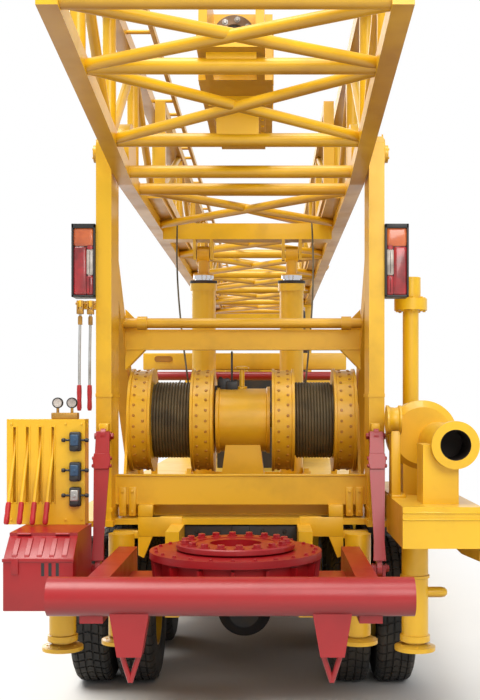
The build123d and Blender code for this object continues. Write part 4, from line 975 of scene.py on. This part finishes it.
# %% Rear steps
step_face = PIVOT.y - 0.059
steps = Shape()
for x0, x1, z0, z1 in ((0.4, 0.7, 1.268, 1.402), (0.6, 0.7, 1.402, 1.482), (0.7, 0.87, 1.255, 1.31)):
    steps.slab((x0, step_face, z0), (x1, PIVOT.y + 0.03, z1), 0.004, 2)
web = ((0.6, 1.27), (0.7, 1.27), (0.7, 1.14), (0.66, 1.12))
steps.plate([(x, step_face + 0.002, z) for x, z in web], (0, 0.03, 0), 0.003)
for x0, x1 in ((0.722, 0.772), (0.79, 0.84)):
    steps.slab((x0, PIVOT.y + 0.003, 1.4), (x1, PIVOT.y + 0.04, 1.6), 0.006, 2)
    steps.bolt(((x0 + x1) / 2, PIVOT.y + 0.003, 1.57), -AHEAD, 0.01)
    steps.bolt(((x0 + x1) / 2, PIVOT.y + 0.003, 1.43), -AHEAD, 0.01)
steps.mirrored()
finish_piece(steps, "rear_steps", YELLOW)
# A dark cross member with bolts and a centre block fills the recess under the box beam: painted shade there.
painted_shade_member = Shape()
painted_shade_member.slab((-0.384, PIVOT.y - 0.03, 1.08), (0.384, PIVOT.y + 0.02, 1.344), 0.006, 2)
for x in (-0.3, -0.15, 0.15, 0.3):
    painted_shade_member.bolt((x, PIVOT.y - 0.03, 1.3), -AHEAD, 0.012)
painted_shade_member.slab((-0.06, PIVOT.y - 0.045, 1.2), (0.06, PIVOT.y - 0.02, 1.34), 0.006)
finish_piece(painted_shade_member, "painted_shade_member", BLACK_IRON)

# %% [markdown]
# Behind the drums, a sheet-metal screen on two legs crosses the deck. It has an oval hand hole at its left
# end, a shallow closed recess whose darker yellow is painted shade for the opening, and a red brace tube
# below. On top of the drum case stand a breather and the valve block of the clutch.

# %% Deck screen and case fittings
SCREEN_Y = PIVOT.y + 3.1
screen_low, screen_high = pixel_place(143, 370, SCREEN_Y), pixel_place(143, 353, SCREEN_Y)
screen = Shape()
screen.slab((screen_low.x, SCREEN_Y, screen_low.z), (0.95, SCREEN_Y + 0.05, screen_high.z), 0.012, 3)
for x in (screen_low.x + 0.08, 0.8):
    screen.slab((x, SCREEN_Y + 0.01, 1.388), (x + 0.06, SCREEN_Y + 0.04, screen_low.z + 0.02), 0.004)
finish_piece(screen, "deck_screen", YELLOW)
slot_middle = pixel_place(163.5, 359, SCREEN_Y)


def oval(centre, half_long, radius, y, count=10):
    arcs = [(1, -math.pi / 2 + math.pi * i / count) for i in range(count + 1)]
    arcs += [(-1, math.pi / 2 + math.pi * i / count) for i in range(count + 1)]
    return [
        Vector((centre.x + s * half_long + radius * math.cos(a), y, centre.z + radius * math.sin(a)))
        for s, a in arcs
    ]


# The hand hole is closed behind its rim, and its darker yellow paints the shade of an open hole.
hand_hole = Shape()
hand_hole.loft(
    [
        oval(slot_middle, 0.06, r, y)
        for r, y in (
            (0.03, SCREEN_Y + 0.002), (0.03, SCREEN_Y - 0.006), (0.024, SCREEN_Y - 0.008),
            (0.022, SCREEN_Y - 0.001)
        )
    ]
)
finish_piece(hand_hole, "screen_hand_hole", YELLOW_DARK)
brace = Shape()
brace_z = pixel_place(0, 376, SCREEN_Y - 0.05).z
brace.turned(
    (-0.9, SCREEN_Y - 0.045, brace_z), RIGHT, [(0.036, 0), (0.042, 0.006), (0.042, 1.75), (0.036, 1.756)], 24
)
finish_piece(brace, "screen_brace", RED)
DRUM_TOP = DRUM_AXIS + UP * 0.25
breather = Shape()
breather.turned(
    DRUM_TOP + Vector((-0.011, 0, -0.02)), UP,
    [
        (0.04, 0), (0.04, 0.02), (0.02, 0.026), (0.02, 0.15), (0.052, 0.154), (0.054, 0.168), (0.03, 0.176),
        (0, 0.176)
    ], 24
)
for x in (-0.195, 0.17):
    breather.slab((x, DRUM_AXIS.y - 0.19, 1.56), (x + 0.025, DRUM_AXIS.y + 0.19, 1.584), 0.004)
breather.slab((-0.195, DRUM_AXIS.y - 0.21, 1.556), (0.195, DRUM_AXIS.y - 0.14, 1.584), 0.004)
for x in (-0.165, -0.06, 0.06, 0.165):
    breather.bolt((x, DRUM_AXIS.y - 0.175, 1.584), UP, 0.013)
finish_piece(breather, "case_breather", YELLOW)
clutch = Shape()
clutch.slab(DRUM_TOP + Vector((-0.19, -0.05, -0.03)), DRUM_TOP + Vector((-0.1, 0.03, 0.06)), 0.008)
clutch.slab(DRUM_TOP + Vector((-0.13, -0.06, -0.03)), DRUM_TOP + Vector((-0.04, 0.0, 0.04)), 0.008)
clutch.turned(DRUM_TOP + Vector((-0.086, -0.02, 0.02)), UP, [(0.008, 0), (0.008, 0.24), (0.004, 0.246)], 10)
for dx, dz in ((-0.17, 0.06), (-0.12, 0.05), (-0.06, 0.04)):
    clutch.bolt(DRUM_TOP + Vector((dx, -0.03, dz)), UP, 0.014)
clutch.tube(
    [
        DRUM_TOP + Vector((-0.18, -0.05, 0.0)), DRUM_TOP + Vector((-0.2, -0.09, 0.0)),
        DRUM_TOP + Vector((-0.2, -0.11, -0.04))
    ], 0.009, 10
)
finish_piece(clutch, "clutch_valves", PLASTIC)

# %% [markdown]
# A thin wire line runs up from each drum to the mast. It rides on no body, so its upper end does not go with
# the mast when the mast is raised, a known fault.

# %% Lines to the mast
for side, sign, x_drum, x_mast in (("left", -1, -0.41, -0.6), ("right", 1, 0.465, 0.56)):
    line = Shape()
    start, end = Vector((x_drum, DRUM_AXIS.y - 0.05, DRUM_AXIS.z + 0.27)), Vector((x_mast, PIVOT.y + 1.85, 3.74))
    bow = Vector((0.03 * sign, -0.06, 0.05))
    line.tube([start + (end - start) * (i / 24) + bow * math.sin(math.pi * i / 24) for i in range(25)], 0.007, 8)
    line = finish_piece(line, f"wire_line_{side}", ROPE, None)
    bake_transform(line)

# %% [markdown]
# The raising cylinders are painted like the mast, and only the moving rods shine. The paint ends in a sharp
# step on the rod, which the material finds along the rod's own axis.

# %% Painted rod eyes
LIFT_FOOT, LIFT_HEAD = Vector((0, PIVOT.y + 2.3, 1.51)), Vector((0, PIVOT.y + 2.15, 3.5))
lift_axis = (LIFT_HEAD - LIFT_FOOT).normalized()
rod_finish = Finish("painted_rod_end", Coat_Weight=0.1)
height = (rod_finish.axis("Z") - LIFT_FOOT.z) / lift_axis.z
painted = rod_finish.steps((height - 1.8) * 4.0, [(0.0, 0.0), (0.02, 1.0)])
rod_finish.set({
    "Base_Color": rod_finish.mix(
        painted, colour(200, 200, 205),
        rod_finish.mix(rod_finish.noise(1.2, 4), colour(240, 186, 30), colour(206, 140, 24))
    ),
    "Metallic": 1 - painted, "Roughness": painted * 0.3 + 0.12})
rod_finish.bump(rod_finish.noise(120.0, 2), 0.04, 0.002)
for name in ("lift_rods", "lift_stages"):
    nodes[name].data.materials[0] = rod_finish.material
CYLINDER_X = 0.393
collars = Shape()
for x in (-CYLINDER_X, CYLINDER_X):
    top = LIFT_FOOT + lift_axis * ((LIFT_HEAD - LIFT_FOOT).length - 0.235) + RIGHT * x
    collars.band(
        top + lift_axis * 0.001, -lift_axis,
        [(0.1065, -0.002), (0.1215, 0.0), (0.1225, 0.02), (0.1215, 0.026), (0.1065, 0.026)], 40
    )
finish_piece(collars, "barrel_wipers", BLACK_IRON, "lift_barrel")

# %% [markdown]
# On the right side box stands a cathead, a small drum on a tapered pedestal. The box ends in a skirt with a
# red edge. The rear outer jack tubes have locking pins, and every jack's foot has a bolted collar.

# %% Right side fittings
SPOOL = Vector((0.955, PIVOT.y - 0.36, 2.07))
cathead = Shape()
cathead.turned(
    SPOOL, RIGHT,
    [
        (0.07, 0), (0.096, 0.004), (0.096, 0.018), (0.084, 0.03), (0.08, 0.06), (0.084, 0.078), (0.096, 0.086),
        (0.096, 0.098), (0.05, 0.1)
    ], 32
)
cathead.plate(
    [(0.985, SPOOL.y + dy, z) for dy, z in ((-0.055, 2.0), (0.055, 2.0), (0.08, 1.568), (-0.08, 1.568))],
    (0.06, 0, 0), 0.006, 2
)
cathead.slab((0.982, SPOOL.y - 0.11, 1.566), (1.075, SPOOL.y + 0.11, 1.588), 0.004)
for dy in (-0.095, 0.095):
    cathead.bolt((1.06, SPOOL.y + dy, 1.588), UP, 0.01)
for z in (1.53, 1.49):
    cathead.slab((0.982, PIVOT.y - 1.056, z), (1.452, PIVOT.y - 1.04, z + 0.012), 0.003, 1)
finish_piece(cathead, "cathead", YELLOW)
skirt = Shape()
skirt.plate(
    [
        (1.444, PIVOT.y + dy, z)
        for dy, z in ((-1.03, 1.46), (0.88, 1.46), (0.88, 1.24), (-0.4, 1.2), (-0.98, 1.24))
    ], (0.008, 0, 0)
)
finish_piece(skirt, "side_skirt", YELLOW)
edging = Shape()
edging.slab((1.44, PIVOT.y - 1.054, 1.24), (1.4535, PIVOT.y - 1.03, 1.47), 0.003, 1)
finish_piece(edging, "skirt_edging", RED)
OUTER_X, OUTER_Y = 1.13, -0.48
JACKS = (("rear_outer", OUTER_X, OUTER_Y), ("rear_inner", 0.78, -0.29), ("front", 1.09, 6.4))
JACK_TUBE_R, JACK_FOOT_TOP = 0.0855, 0.6
pins = Shape()
pins.turned(
    (1.2, PIVOT.y + OUTER_Y, 0.968), RIGHT,
    [(0.034, 0), (0.034, 0.1), (0.03, 0.12), (0.018, 0.134), (0, 0.138)], 20
)
for z, collar_r, shoulder, tall in ((1.06, 0.094, 0.02, 0.023), (0.656, 0.096, 0.04, 0.044)):
    collar = [(JACK_TUBE_R, 0), (collar_r, 0.003), (collar_r, shoulder), (JACK_TUBE_R, tall)]
    pins.band((OUTER_X, PIVOT.y + OUTER_Y, z), UP, collar, 36)
pins.mirrored()
finish_piece(pins, "jack_tube_pins", YELLOW)
for place, x, y in JACKS:
    for side, sign in SIDES:
        body = next(
            b for b, names in frame["record"]["behaviour"]["bodies"].items() if f"jack_{place}_{side}" in names
        )
        centre = Vector((sign * x, PIVOT.y + y, JACK_FOOT_TOP))
        foot = Shape()
        foot.turned(centre + UP * 0.0255, UP, [(0.127, 0), (0.12, 0.004), (0.075, 0.0175), (0.067, 0.0175)], 36)
        for out in circle((0, 0, 0), UP, 1.0, 6):
            foot.bolt(centre + out * 0.1 + UP * 0.031, UP, 0.008, False)
        finish_piece(foot, f"foot_{place}_{side}", YELLOW, body)

# %% [markdown]
# A truck tyre shows five rows of tread blocks between four grooves, rounded shoulders and a bulging wall with
# moulded rings. One mesh is made from a grid that goes round the tyre and across it. Points that lie in a
# groove sink, and the rest stay out.

# %% Tyres
TREAD_DEEP = 0.014
PITCHES = 44
GROOVE_SHARE = 0.2
RIM_SEAT = 0.29


def tyre_section(width, radius):
    """Half of a tyre's outline from the middle outwards: (distance across, radius, kind of tread)."""
    half = width / 2
    ribs = [
        (0.0, 1), (0.18, 1), (0.2, 2), (0.28, 2), (0.3, 1), (0.6, 1), (0.62, 2), (0.68, 2), (0.7, 1),
        (0.86, 1)
    ]
    shape = [(half * 0.84 * share, radius - 0.004 * share ** 2, kind) for share, kind in ribs]
    shape += [
        (half * 0.86, radius - 0.020, 3), (half * 0.93, radius - 0.05, 3), (half * 0.96, radius - 0.054, 0),
        (half * 0.985, radius - 0.1, 0), (half * 0.998, radius - 0.15, 0), (half * 0.99, radius - 0.155, 0),
        (half * 0.99, radius - 0.165, 0), (half * 0.995, radius - 0.17, 0), (half * 0.95, RIM_SEAT + 0.045, 0),
        (
            half * 0.93, RIM_SEAT + 0.035, 0
        ), (half * 0.90, RIM_SEAT + 0.032, 0), (half * 0.86, RIM_SEAT + 0.002, 0),
    ]
    return shape


def add_tyre(shape, middle, radius, width):
    half = tyre_section(width, radius)
    section = [(-s, r, k) for s, r, k in reversed(half)] + half[1:]
    cuts = (0.0, 1 - GROOVE_SHARE - 0.02, 1 - GROOVE_SHARE, 0.98)
    rows = []
    for pitch in range(PITCHES):
        for cut_number, cut in enumerate(cuts):
            row = []
            for across, r, kind in section:
                skew = abs(across) / width * 1.2
                turn = TURN * (pitch + cut + skew) / PITCHES
                sunk = kind == 2 or (kind in (1, 3) and cut_number >= 2)
                reach = r - (TREAD_DEEP if sunk else 0)
                row.append(
                    shape.mesh.verts.new(
                        (
                            middle.x + across, middle.y + reach * math.cos(turn),
                            middle.z + reach * math.sin(turn)
                        )
                    )
                )
            rows.append(row)
    for near, far in zip(rows, rows[1:] + rows[:1]):
        for i in range(len(near) - 1):
            shape.mesh.faces.new((near[i], near[i + 1], far[i + 1], far[i]))
        shape.mesh.faces.new((near[-1], near[0], far[0], far[-1]))


wheel_sets = []
for side, sign in SIDES:
    for place in ("rear_1", "rear_2"):
        low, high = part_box(f"tyres_{place}_{side}")
        radius, width = (high.z - low.z) / 2, 0.3
        centres = [
            Vector((x, (low.y + high.y) / 2, (low.z + high.z) / 2))
            for x in (low.x + width / 2, high.x - width / 2)
        ]
        wheel_sets.append((f"tyres_{place}_{side}", f"wheels_{place}_{side}", centres, radius, width, sign))
    low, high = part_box(f"tyre_front_{side}")
    middle = (low + high) / 2
    wheel_sets.append(
        (f"tyre_front_{side}", f"wheel_front_{side}", [middle], (high.z - low.z) / 2, high.x - low.x, sign)
    )
for name, body, centres, radius, width, sign in wheel_sets:
    rubber_tyre = Shape()
    for centre in centres:
        add_tyre(rubber_tyre, centre, radius, width)
    finish_piece(rubber_tyre, f"tread_{name}", TYRE, body, replaced=[name], angle=30)

# %% [markdown]
# Round the hub cap stand ten wheel nuts on each rear disc and eight on each front one. They are dark, so that
# the discs do not look like plain cups.

# %% Wheel nuts and hub caps
TWIN_BASE_X = 0.98  # where the outer twin's dish begins
TWIN_DISC_X = TWIN_BASE_X + 0.036
TWIN_HUB_X = TWIN_BASE_X + 0.15
TWIN_NUTS_R, TWIN_HUB_BOLTS_R = 0.212, 0.115
FRONT_DISC_OUT = 0.13
for name, body, centres, radius, width, sign in wheel_sets:
    out = RIGHT * sign
    outer = max(centres, key=lambda c: c.x * sign)
    twin = len(centres) == 2
    nuts = Shape()
    if twin:
        nuts.bolts(
            [Vector((TWIN_DISC_X * sign, p.y, p.z)) for p in circle(outer, out, TWIN_NUTS_R, 10)], out,
            0.017
        )
        nuts.bolts(
            [Vector((TWIN_HUB_X * sign, p.y, p.z)) for p in circle(outer, out, TWIN_HUB_BOLTS_R, 8)], out, 0.011
        )
        nuts.turned(
            (TWIN_HUB_X * sign, outer.y, outer.z), out,
            [(0.075, 0), (0.075, 0.012), (0.06, 0.02), (0.045, 0.02), (0, 0.026)], 24
        )
    else:
        face_x = abs(outer.x) + FRONT_DISC_OUT
        nuts.bolts([Vector((face_x * sign, p.y, p.z)) for p in circle(outer, out, 0.118, 8)], out, 0.013)
        nuts.turned(
            (face_x * sign, outer.y, outer.z), out, [(0.07, 0), (0.07, 0.008), (0.055, 0.012), (0, 0.014)], 24
        )
    finish_piece(nuts, f"nuts_{name}", CAST, body)

# %% [markdown]
# Each door gets its glass, a rubber seal and a handle. They ride on the door, so that they swing with it.

# %% Cab doors
SILL_HIGH, DOOR_TOP = 1.915, 2.41
DOOR_SKIN, DOOR_MIDDLE = 1.15, 1.125
SEAL_IN, SEAL_OUT = 1.098, 1.1515
for side, sign in SIDES:
    low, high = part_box(f"door_{side}")
    body = f"cab_door_{side[0]}"
    x_mid = sign * DOOR_MIDDLE
    y0, y1 = low.y + 0.09, PIVOT.y + 10.5
    z0, z1 = SILL_HIGH, DOOR_TOP
    pane = Shape().slab(
        (min(x_mid - 0.003, x_mid + 0.003), y0 + 0.004, z0 + 0.004), (x_mid + 0.003, y1 - 0.004, z1 - 0.004),
        0.0, 0
    )
    finish_piece(pane, f"door_glass_{side}", GLASS, body)
    seal = Shape()
    for a, b in (
        ((y0, z0), (y1, z0 + 0.014)), ((y0, z1 - 0.014), (y1, z1)), ((y0, z0), (y0 + 0.014, z1)),
        ((y1 - 0.014, z0), (y1, z1))
    ):
        x0, x1 = sorted((sign * SEAL_IN, sign * SEAL_OUT))
        seal.slab((x0, a[0], a[1]), (x1, b[0], b[1]), 0.004)
    finish_piece(seal, f"door_seal_{side}", PLASTIC, body)
    handle = Shape()
    grip_z = z0 - 0.16
    bow = ((DOOR_SKIN, -0.01), (1.178, 0), (1.182, 0.06), (1.178, 0.12), (DOOR_SKIN, 0.13))
    handle.tube([(sign * x, y0 + dy, grip_z) for x, dy in bow], 0.009, 12)
    x0, x1 = sorted((sign * DOOR_SKIN, sign * (DOOR_SKIN + 0.004)))
    handle.slab((x0, y0 - 0.03, grip_z - 0.03), (x1, y0 + 0.15, grip_z + 0.03), 0.001, 1)
    finish_piece(handle, f"door_handle_{side}", PLASTIC, body)

# %% [markdown]
# The engine is one block in the frame. Its covers, manifold, belt fan and exhaust are what shows of a real
# one from the sides, so they are added here. The radiator gets its fins, as many thin blades in one mesh.

# %% Engine and radiator
engine_low, engine_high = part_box("engine")
RIB_IN, RIB_OUT = 0.428, 0.436
STACK_X, STACK_Y = 0.62, 1.62
COVER_STEP, RIB_STEP, PORT_STEP = 0.6, 0.28, 0.26
covers, pipes, fan = Shape(), Shape(), Shape()
for x0, x1 in ((-0.34, -0.08), (0.08, 0.34)):
    for number in range(3):
        y = engine_low.y + 0.12 + number * COVER_STEP
        covers.slab((x0, y, engine_high.z - 0.01), (x1, y + 0.54, engine_high.z + 0.09), 0.03, 3)
        for dy in (0.08, 0.46):
            covers.bolt(((x0 + x1) / 2, y + dy, engine_high.z + 0.09), UP, 0.012)
for number in range(7):
    y = engine_low.y + 0.14 + number * RIB_STEP
    for x0, x1 in ((-RIB_OUT, -RIB_IN), (RIB_IN, RIB_OUT)):
        covers.slab((x0, y, 1.5), (x1, y + 0.05, 2.38), 0.003, 1)
finish_piece(covers, "engine_covers", YELLOW)
manifold = [
    (0.43, 0.25, 2.34), (0.5, 0.3, 2.34), (0.53, 0.4, 2.34), (0.53, 1.4, 2.34), (0.56, 1.55, 2.36),
    (STACK_X, STACK_Y, 2.45), (STACK_X, STACK_Y, 3.2), (STACK_X, 1.66, 3.3), (STACK_X, 1.78, 3.38)
]
pipes.tube(manifold, [0.05] * 4 + [0.06] * 5, 20)
for number in range(5):
    y = engine_low.y + 0.3 + number * PORT_STEP
    pipes.tube([(0.42, y, 2.25), (0.49, y, 2.27), (0.53, y, 2.33)], 0.035, 14)
pipes.turned((STACK_X, STACK_Y, 2.62), UP, [(0.066, 0), (0.11, 0.03), (0.11, 0.5), (0.066, 0.53)], 28)
finish_piece(pipes, "exhaust", BLACK_IRON)
fan_at = Vector((0, engine_high.y + 0.09, 1.98))
fan.turned(fan_at - AHEAD * 0.1, AHEAD, [(0.07, 0), (0.09, 0.04), (0.09, 0.14), (0.05, 0.16), (0, 0.16)], 24)
for out in circle((0, 0, 0), AHEAD, 1.0, 8):
    across = out.cross(AHEAD) * 0.07
    fan.plate(
        [
            fan_at + out * r + across * s + AHEAD * 0.03 * s
            for r, s in ((0.08, -0.6), (0.42, -1), (0.44, 1), (0.08, 0.6))
        ], AHEAD * 0.006
    )
fan.band(fan_at - AHEAD * 0.02, AHEAD, [(0.47, 0), (0.5, 0), (0.5, 0.1), (0.47, 0.1)], 48)
finish_piece(fan, "engine_fan", PLASTIC)
cleaner = Shape()
cleaner.turned(
    (-0.62, 0.35, 2.28), AHEAD,
    [(0.1, 0), (0.16, 0.03), (0.165, 0.06), (0.165, 0.12), (0.16, 0.13), (0.16, 0.7), (0.1, 0.74), (0, 0.74)],
    36
)
for y in (0.5, 0.9):
    cleaner.slab((-0.56, y, 2.1), (-0.42, y + 0.05, 2.3), 0.004)
cleaner.tube([(-0.62, 1.05, 2.28), (-0.62, 1.2, 2.28), (-0.58, 1.3, 2.32), (-0.4, 1.34, 2.42)], 0.055, 18)
finish_piece(cleaner, "air_cleaner", YELLOW)
core_low, core_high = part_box("radiator")
fins = Shape()
FIN_COUNT = 60
for number in range(FIN_COUNT):
    x = core_low.x + 0.05 + (core_high.x - core_low.x - 0.1) * number / (FIN_COUNT - 1)
    for y0, y1 in ((core_low.y - 0.005, core_low.y + 0.002), (core_high.y - 0.002, core_high.y + 0.005)):
        fins.slab((x - 0.004, y0, core_low.z + 0.1), (x + 0.004, y1, core_high.z - 0.14), 0.0, 0)
finish_piece(fins, "radiator_fins", PLASTIC)
tank_top = Shape()
for z0, z1 in ((core_high.z - 0.14, core_high.z + 0.02), (core_low.z + 0.002, core_low.z + 0.1)):
    tank_top.slab(
        (core_low.x - 0.012, core_low.y - 0.012, z0), (core_high.x + 0.012, core_high.y + 0.012, z1), 0.012, 3
    )
for x in (core_low.x - 0.01, core_high.x - 0.03):
    tank_top.slab(
        (x, core_low.y - 0.01, core_low.z + 0.09), (x + 0.04, core_high.y + 0.01, core_high.z - 0.13), 0.004, 1
    )
tank_top.turned(
    (0.2, (core_low.y + core_high.y) / 2, core_high.z + 0.018), UP,
    [(0.035, 0), (0.035, 0.02), (0.045, 0.022), (0.045, 0.04), (0, 0.042)], 20
)
finish_piece(tank_top, "radiator_tanks", YELLOW)

# %% [markdown]
# Two steel straps hold each tank to its brackets, and a filler cap stands on its outer face.

# %% Tank straps and caps
tank_low, tank_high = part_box("side_tanks")
TANK_ROUND = 0.12
TANK_CENTRE = Vector((0.85, 0, 0.95))
TANK_HALF = Vector((0.32, 0, 0.28))


def tank_outline(out, y, steps=6):
    """The tank's rounded section, moved outwards."""
    points = []
    for sx, sz, phase in ((1, 1, 0), (-1, 1, 1), (-1, -1, 2), (1, -1, 3)):
        for i in range(steps + 1):
            turn = math.pi / 2 * (phase + i / steps)
            x = TANK_CENTRE.x + sx * (TANK_HALF.x - TANK_ROUND) + (TANK_ROUND + out) * math.cos(turn)
            z = TANK_CENTRE.z + sz * (TANK_HALF.z - TANK_ROUND) + (TANK_ROUND + out) * math.sin(turn)
            points.append(Vector((x, y, z)))
    return points


straps = Shape()
for y in (tank_low.y + 0.3, tank_high.y - 0.5):
    straps.loft(
        [tank_outline(out, y + dy) for out, dy in ((-0.002, 0), (0.006, 0), (0.006, 0.06), (-0.002, 0.06))],
        closed=True
    )
    straps.turned((1.172, y + 0.03, 0.83), UP, [(0.012, 0), (0.012, 0.12), (0, 0.12)], 8)
straps.mirrored()
finish_piece(straps, "tank_straps", CAST)
caps = Shape()
caps.turned(
    (1.168, tank_high.y - 0.25, 1.08), RIGHT,
    [(0.05, 0), (0.05, 0.02), (0.06, 0.022), (0.06, 0.045), (0.05, 0.052), (0, 0.052)], 24
)
caps.mirrored()
finish_piece(caps, "tank_caps", PLASTIC)

# %% [markdown]
# The cab's fixed pieces: a rubber seal round each window, wipers, mirrors on their arms, head lamps in the
# bumper, a slatted grille and grab rails. The windscreen leans back, so its seal follows a sloping plane.

# %% Cab outside
cab_low, cab_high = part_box("cab_shell")
LAMP_HIGH = 0.9
GRAB_Y = 4.3
SCREEN_LEAN, SCREEN_TOP = 0.12, 2.65
SCREEN_FOOT = Vector((0, cab_high.y, SILL_HIGH))


def on_windscreen(x, z, out=0.0):
    share = (z - SCREEN_FOOT.z) / (SCREEN_TOP - SCREEN_FOOT.z)
    return Vector((x, SCREEN_FOOT.y - SCREEN_LEAN * share + out, z))


def frame_bars(shape, corners, radius):
    """Round bars along a closed outline, each a little longer than its side."""
    for a, b in zip(corners, corners[1:] + corners[:1]):
        along = (b - a).normalized() * radius
        shape.tube([a - along, b + along], radius, 10)


rubber = Shape()
frame_bars(
    rubber, [on_windscreen(x, z) for x, z in ((-1.02, 1.945), (1.02, 1.945), (1.02, 2.48), (-1.02, 2.48))],
    0.016
)
frame_bars(
    rubber, [Vector((x, cab_low.y, z)) for x, z in ((-0.65, 1.995), (0.65, 1.995), (0.65, 2.4), (-0.65, 2.4))],
    0.014
)
for x in (-0.62, 0.3):
    start, end = on_windscreen(x, 1.93, 0.02), on_windscreen(x + 0.42, 2.3, 0.012)
    rubber.tube([start, start + (end - start) * 0.4, end], [0.009, 0.006, 0.005], 8)
    rubber.tube([on_windscreen(x + 0.1, 2.22, 0.012), on_windscreen(x + 0.55, 2.34, 0.012)], 0.007, 8)
    rubber.turned(on_windscreen(x, 1.93, -0.002), AHEAD, [(0.02, 0), (0.02, 0.02), (0.01, 0.03), (0, 0.03)], 14)
finish_piece(rubber, "cab_window_rubber", PLASTIC)
mirrors, mirror_glass = Shape(), Shape()
mirrors.tube(
    [
        (1.148, 5.4, 2.56), (1.3, 5.44, 2.58), (1.34, 5.46, 2.52), (1.34, 5.46, 2.06), (1.3, 5.44, 2.02),
        (1.148, 5.4, 2.04)
    ], 0.011, 10
)
mirrors.slab((1.25, 5.435, 2.13), (1.43, 5.485, 2.47), 0.02, 3)
mirror_glass.slab((1.265, 5.429, 2.15), (1.415, 5.438, 2.45), 0.003, 1)
for shape, name, slot, finish in (
    (mirrors, "cab_mirrors", "black_plastic", PLASTIC), (mirror_glass, "mirror_glass", "steel", CHROME)
):
    shape.mirrored()
    finish_piece(shape, name, finish)
lamps, lamp_glass, grille, rails = Shape(), Shape(), Shape(), Shape()
bumper_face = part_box("front_bumper")[1].y
for x in (0.72, 0.94):
    lamps.turned(
        (x, bumper_face - 0.001, LAMP_HIGH), AHEAD,
        [(0.098, 0), (0.098, 0.012), (0.088, 0.016), (0.084, 0.006)], 32
    )
    lamp_glass.turned(
        (x, bumper_face + 0.003, LAMP_HIGH), AHEAD,
        [(0.084, 0), (0.078, 0.008), (0.05, 0.016), (0.02, 0.019), (0, 0.019)], 32
    )
for number in range(9):
    z = 1.3 + number * 0.055
    grille.plate(
        [
            (-0.62, cab_high.y - 0.002, z), (-0.62, cab_high.y + 0.022, z + 0.008),
            (-0.62, cab_high.y + 0.02, z + 0.018), (-0.62, cab_high.y - 0.002, z + 0.03)
        ], (1.24, 0, 0)
    )
frame_bars(
    grille,
    [Vector((x, cab_high.y + 0.004, z)) for x, z in ((-0.63, 1.28), (0.63, 1.28), (0.63, 1.79), (-0.63, 1.79))],
    0.015
)
grab_bend = ((1.149, 1.35), (1.18, 1.37), (1.185, 1.42), (1.185, 2.2), (1.18, 2.25), (1.149, 2.27))
rails.tube([(x, GRAB_Y, z) for x, z in grab_bend], 0.012, 12)
for shape, name, slot, finish in (
    (lamps, "head_lamp_rims", "steel", STEEL), (lamp_glass, "head_lamp_glass", "glass", LENS_WHITE),
    (grille, "cab_grille", "black_plastic", PLASTIC), (rails, "cab_grab_rails", "yellow_paint", YELLOW),
):
    if shape is not grille:
        shape.mirrored()
    finish_piece(shape, name, finish)

# %% [markdown]
# Inside the cab, two seats stand on plinths behind a dashboard with a steering wheel. A seat pad is a crowned
# closed form: its top bulges, its sides pull in between the corners, and sewn channels cross it. It is shaped
# from a fine cube by a rule for each point, because the small pads behind glass don't need a cloth run.

# %% Cab inside
def seat_pad(name, low, high, crown_axis, channels):
    """A crowned cushion: crown_axis (1 for y, 2 for z) says which way its face bulges."""
    shape = Shape()
    middle, half = (low + high) / 2, (high - low) / 2
    verts = bmesh.ops.create_cube(shape.mesh, size=2.0)["verts"]
    bmesh.ops.subdivide_edges(shape.mesh, edges=shape.mesh.edges[:], cuts=23, use_grid_fill=True)
    other = 3 - crown_axis
    for vert in shape.mesh.verts:
        u, v, w = vert.co.x, vert.co[other], vert.co[crown_axis]
        round_off = (abs(u) ** 6 + abs(v) ** 6 + abs(w) ** 6) ** (1 / 6)
        u, v, w = u / max(round_off, 1), v / max(round_off, 1), w / max(round_off, 1)
        swell = (1 - u * u) * (1 - v * v)
        pull = 0.04 * (1 - w * w) + 0.03
        groove = sum(math.exp(-((v - at) / 0.035) ** 2) for at in channels) * 0.09 * (1 - u ** 8)
        face = w * (0.8 + 0.2 * swell) - (groove if w > 0.4 else 0.0)
        vert.co.x = middle.x + half.x * u * (1 - pull * (1 - v * v))
        vert.co[other] = middle[other] + half[other] * v * (1 - pull * (1 - u * u))
        vert.co[crown_axis] = middle[crown_axis] + half[crown_axis] * (face if w > 0 else w)
    pad = finish_piece(shape, name, SEAT, angle=80)
    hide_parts("cab_interior")
    return pad


SEAT_X = 0.55
for side, sign in SIDES:
    x = SEAT_X * sign
    seat_pad(
        f"seat_cushion_{side}", Vector((x - 0.23, 4.335, 1.4)), Vector((x + 0.23, 4.735, 1.545)), 2,
        (-0.3, 0.3)
    )
    seat_pad(
        f"seat_back_{side}", Vector((x - 0.22, 4.275, 1.54)), Vector((x + 0.22, 4.395, 2.165)), 1,
        (-0.45, 0.0, 0.45)
    )
fittings = Shape()
for x in (-SEAT_X, SEAT_X):
    fittings.slab((x - 0.2, 4.33, 1.166), (x + 0.2, 4.69, 1.405), 0.02, 2)
dash = ((5.525, 1.62), (5.525, 1.875), (5.42, 1.875), (5.27, 1.81), (5.245, 1.73), (5.29, 1.616))
fittings.plate([(-1.08, y, z) for y, z in dash], (2.16, 0, 0), 0.012, 2)
fittings.slab((-0.08, 5.245, 1.166), (0.08, 5.375, 1.63), 0.015, 2)
fittings.slab((-0.75, 5.28, 1.84), (-0.35, 5.42, 1.92), 0.02, 3)
wheel_at, wheel_axis = Vector((-SEAT_X, 5.07, 1.9)), Vector((0, -0.8, 0.6))
HAND_WHEEL_R = 0.2
fittings.tube([wheel_at, wheel_at - wheel_axis * 0.25], 0.025, 14)
fittings.band(
    wheel_at, wheel_axis,
    [(HAND_WHEEL_R + 0.013 * math.cos(a), 0.013 * math.sin(a)) for a in (TURN * i / 8 for i in range(8))], 40
)
for out in circle((0, 0, 0), wheel_axis, 1.0, 3):
    fittings.tube([wheel_at, wheel_at + out * HAND_WHEEL_R], 0.01, 8)
fittings = finish_piece(fittings, "cab_fittings", PLASTIC)
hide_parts("cab_interior")
